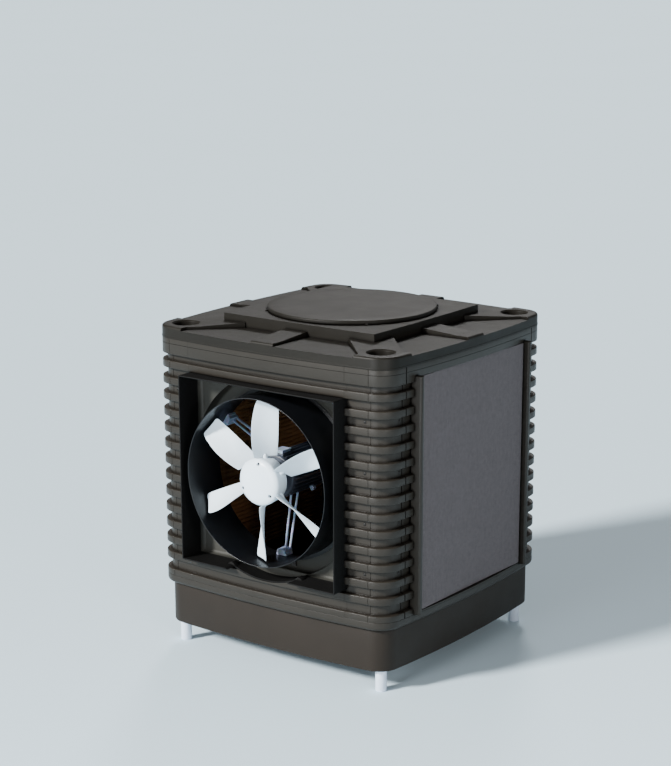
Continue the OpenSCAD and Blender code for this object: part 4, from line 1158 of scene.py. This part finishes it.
def make_motor():
    fins, r0, r1 = 28, MOTOR_R - 10 * MM, MOTOR_R
    pts = []
    for i in range(fins):
        a = 2 * math.pi * i / fins
        for da, r in ((-0.030, r0), (-0.021, r1 - 0.8 * MM), (-0.012, r1), (0.012, r1),
                      (0.021, r1 - 0.8 * MM), (0.030, r0)):
            pts.append((r * math.cos(a + da), r * math.sin(a + da)))
    centre = (0, 0, FAN_Z)
    parts = [extrude("fins", pts, MOTOR_FRONT, MOTOR_BACK, fan_plan, bevel=1 * MM, steps=1, sharp=30)]
    for a in ARM_ANGLES:
        seat = box_mesh("seat", (-SEAT_HALF, SEAT_FRONT, FAN_Z + 60 * MM),
                        (SEAT_HALF, SEAT_BACK, FAN_Z + MOTOR_R + 0.9 * MM), 1.5 * MM)
        parts.append(moved(seat, spin("Y", a, centre)))
    boss = revolve("boss", rounded([(0.02 * MM, 60 * MM, 0), (9 * MM, 60 * MM, 0),
                                    (9 * MM, MOTOR_R, 1 * MM), (0.02 * MM, MOTOR_R, 0)]), "z",
                   (0, KNOB_Y, FAN_Z), 24)
    parts.append(moved(boss, spin("Y", KNOB_ANGLE, centre)))
    parts.append(box_mesh("terminal_pad", (-20 * MM, MOTOR_FRONT + 0.2 * MM, FAN_Z + 60 * MM),
                          (20 * MM, high("motor_terminal").y + 2 * MM, FAN_Z + MOTOR_R), 1.5 * MM))
    place(joined("motor_body", parts, 30), "cabinet", "motor_paint", "motor_body")
    for name, y, out in (("motor_bell_front", MOTOR_FRONT, -1), ("motor_bell_rear", MOTOR_BACK, 1)):
        depth = 14 * MM if out < 0 else 16 * MM
        nose = 24 * MM if out < 0 else 26 * MM
        profile = rounded([(12.4 * MM, y, 0), (MOTOR_R - 6 * MM, y, 0), (MOTOR_R - 6 * MM, y + out * depth,
                           5 * MM), (36 * MM, y + out * depth, 3 * MM), (34 * MM, y + out * nose, 2 * MM),
                           (12.4 * MM, y + out * nose, 0.6 * MM)])
        bell = revolve(name, profile, "y", (0, 0, FAN_Z), 96)
        parts = [bell]
        for i in range(4):
            lug = revolve("lug", rounded([(0.02 * MM, y + out * 1 * MM, 0), (6 * MM, y + out * 1 * MM, 0),
                                          (6 * MM, y + out * (depth + 1.5 * MM), 1 * MM),
                                          (0.02 * MM, y + out * (depth + 1.5 * MM), 0)]), "y",
                          (0, 0, FAN_Z + 56 * MM), 6)
            parts.append(moved(lug, spin("Y", 45 + 90 * i, (0, 0, FAN_Z))))
        place(joined(name, parts), "cabinet", "motor_paint", name)


# ---- filters and pads ----
def filter_cloth(name, quarter):
    """Stretched non-woven cloth: a thin closed sheet, a touch slack between its bars."""
    half, z0, z1 = OPEN_HALF - 2.2 * MM, OPEN_LOW + 2.2 * MM, OPEN_HIGH - 2.2 * MM
    nx, nz = 44, 54
    verts = []
    for face, sign in ((CLOTH_FACE - 0.4 * MM, 1), (CLOTH_FACE - 5.0 * MM, -1)):
        for i in range(nx + 1):
            for j in range(nz + 1):
                u, w = i / nx, j / nz
                y, z = -half + 2 * half * u, z0 + (z1 - z0) * w
                rim = min(u * 2 * half, (1 - u) * 2 * half, w * (z1 - z0), (1 - w) * (z1 - z0))
                x = face - (1.6 * MM if rim <= 0 and sign > 0 else 0)
                slack = abs(math.sin(math.pi * 3 * u) * math.sin(math.pi * 4 * w)) ** 0.7
                if sign > 0:
                    x -= 1.3 * MM * slack + 0.25 * MM * math.sin(31 * u + 5 * w) * math.sin(9 * w)
                verts.append((x, y, z))
    cloth = new_mesh(name, verts, two_sided(nx + 1, nz + 1), 60)
    moved(cloth, Matrix.Rotation(math.pi / 2 * quarter, 4, "Z"))
    side = ("right", "rear", "left")[quarter]
    place(cloth, f"filter_{side}_panel", "filter_cloth", name)


def cooling_pad(name, quarter):
    """Corrugated paper sheets glued side by side, their flutes slanting two ways in turn."""
    y0, y1 = low("cooling_pad_right").y, high("cooling_pad_right").y
    z0, z1 = low("cooling_pad_right").z, high("cooling_pad_right").z
    x0, x1 = low("cooling_pad_right").x, high("cooling_pad_right").x
    pitch, gap, paper = 16 * MM, 8 * MM, 0.5 * MM
    sheets = int((y1 - y0) / gap)
    steps = int((z1 - z0) / pitch * 4)
    verts, faces = [], []
    for k in range(sheets):
        y = y0 + (y1 - y0) * (k + 0.5) / sheets
        rise = math.tan(math.radians(15 if k % 2 else -45)) * (x1 - x0)
        start = len(verts)
        for side in (-1, 1):
            for i, x in enumerate((x0, x1)):
                for j in range(steps + 1):
                    z = z0 + (z1 - z0) * j / steps
                    phase = 2 * math.pi * (z + (rise if i else 0)) / pitch
                    wave = math.asin(math.sin(phase)) / (math.pi / 2) * (gap / 2 - paper)
                    verts.append((x, y + wave * 0.96 + side * paper / 2, z))
        row, sheet = steps + 1, 2 * (steps + 1)
        for j in range(steps):
            a = start + j
            faces.append((a, a + 1, a + row + 1, a + row))
            faces.append((a + sheet, a + sheet + row, a + sheet + row + 1, a + sheet + 1))
            faces.append((a, a + sheet, a + sheet + 1, a + 1))
            faces.append((a + row, a + row + 1, a + row + sheet + 1, a + row + sheet))
        for j in (start, start + steps):
            faces.append((j, j + row, j + row + sheet, j + sheet))
    pad = bpy.data.meshes.new(name)
    pad.from_pydata(verts, [], faces)
    obj = bpy.data.objects.new(name, pad)
    bpy.context.scene.collection.objects.link(obj)
    moved(obj, Matrix.Rotation(math.pi / 2 * quarter, 4, "Z"))
    place(obj, "cabinet", "pad_paper", name)


def make_filters_and_pads():
    for quarter, side in enumerate(("right", "rear", "left")):
        filter_cloth(f"dust_filter_{side}", quarter)
        cooling_pad(f"cooling_pad_{side}", quarter)


# ---- fasteners on the walls ----
def make_wall_screws():
    """Dark pan heads in every third recess, on the seams' outer edges."""
    head = screw_head(4.5 * MM, 3 * MM)
    head.data.transform(Matrix.Rotation(math.radians(90), 4, "Y"))
    parts = []
    for k in (2, 5, 8, 11):
        z = rib_z(k) + RIB_PITCH / 2
        for s in (-1, 1):
            spots = [(3, s * 408 * MM)] + [(q, s * (SIDE_SEAM + 14 * MM)) for q in range(3)]
            for quarter, x in spots:
                p, out = BODY.side(BODY.at(x), quarter)
                spot = p - out * RIB_DEPTH
                parts.append(copied(head, shift(spot.x, spot.y, z)
                                    @ Matrix.Rotation(math.atan2(out.y, out.x), 4, "Z")))
    drop(head)
    place(joined("panel_screws", parts), "cabinet", "screw_black", "panel_screws")


# ---- CAD nodes that keep their shape ----
KEPT = {
    "top_frame": "body_plastic", "ring_clips": "clip_plastic", "filter_frame_right": "filter_bars",
    "filter_frame_left": "filter_bars", "filter_frame_rear": "filter_bars", "motor_shaft": "steel",
    "motor_knob": "galvanised", "motor_terminal": "galvanised", "motor_arms": "galvanised",
    "arm_feet": "galvanised", "arm_bolts": "steel", "junction_box": "box_plastic", "junction_cover": "box_plastic",
    "water_pump": "pump_plastic", "pump_strainer": "pump_plastic",
    "pump_impeller": "impeller_plastic", "riser_hose": "hose_rubber", "distributor_pipe": "pipe_pvc",
    "water_inlet": "brass_fitting", "float_valve": "valve_plastic", "float_arm": "brass_fitting",
    "float_ball": "float_plastic", "overflow_pipe": "pipe_pvc", "drain_valve": "brass_fitting",
    "drain_handle": "lever_red",
}


def finish_kept_nodes():
    for name, look in KEPT.items():
        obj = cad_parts[name]
        obj.data.materials.clear()
        obj.data.materials.append(MATERIALS[look])


# ---- stage ----
def make_stage():
    n, radius = 96, 90.0
    turns = [2 * math.pi * i / n for i in range(n)]
    verts = [(0, 0, 0)] + [(radius * math.cos(a), radius * math.sin(a), 0) for a in turns]
    floor = new_mesh("floor", verts, [(0, i + 1, (i + 1) % n + 1) for i in range(n)])
    floor.data.materials.append(floor_paint("floor_paint", (0.58, 0.74, 0.84)))


def aimed(name, data, at, ahead):
    """An object for a lamp or camera that looks along ahead."""
    obj = bpy.data.objects.new(name, data)
    bpy.context.scene.collection.objects.link(obj)
    obj.location = at
    obj.rotation_mode = "QUATERNION"
    obj.rotation_quaternion = ahead.to_track_quat("-Z", "Y")
    return obj


def towards(azimuth, elevation):
    """From the object out to a viewer or lamp; azimuth 0 is in front, in degrees."""
    a, e = math.radians(azimuth), math.radians(elevation)
    return Vector((math.sin(a) * math.cos(e), -math.cos(a) * math.cos(e), math.sin(e)))


def area_light(name, at, aim, size, power, colour=(1, 1, 1)):
    data = bpy.data.lights.new(name, "AREA")
    data.shape, data.size, data.energy, data.color = "DISK", size, power, colour
    aimed(name, data, at, Vector(aim) - Vector(at))


def sun_light(name, azimuth, elevation, strength, softness, colour):
    data = bpy.data.lights.new(name, "SUN")
    data.energy, data.angle, data.color = strength, math.radians(softness), colour
    aimed(name, data, (0, 0, 0), -towards(azimuth, elevation))


def make_lights():
    sun_light("key", -24, 30, 9.0, 9, (1.0, 0.985, 0.96))
    sun_light("back", -150, 40, 1.2, 12, (1.0, 1.0, 1.0))
    area_light("front_fill", (0.3, -4.2, 0.9), (0, -0.3, 0.68), 1.2, 80, (0.95, 0.97, 1.0))
    area_light("corner", (3.4, -2.4, 1.5), (0.4, -0.4, 0.6), 0.9, 55, (1.0, 0.96, 0.93))
    world = bpy.data.worlds.new("studio")
    world.use_nodes = True
    sky = world.node_tree.nodes["Background"]
    sky.inputs["Color"].default_value = (1.0, 0.97, 0.95, 1)
    sky.inputs["Strength"].default_value = 0.30
    bpy.context.scene.world = world


def make_camera():
    distance, target, back = 7.418, Vector((0, 0, 0.638)), towards(35.8, 15.5)
    data = bpy.data.cameras.new("camera")
    data.lens, data.sensor_width, data.clip_end = 95.1, 36, 300
    data.shift_x, data.shift_y = -0.0219, 0.107
    bpy.context.scene.camera = aimed("camera", data, target + back * distance, -back)


make_camera()
make_stage()
make_lights()
make_columns()
make_front_panel()
make_side_frames()
make_bottom_frame()
make_tank()
make_legs()
make_lid()
make_disc()
make_collar()
make_venturi()
make_ring()
make_hub()
make_hub_screws()
make_blades()
make_clamps()
make_motor()
make_filters_and_pads()
make_wall_screws()
finish_kept_nodes()
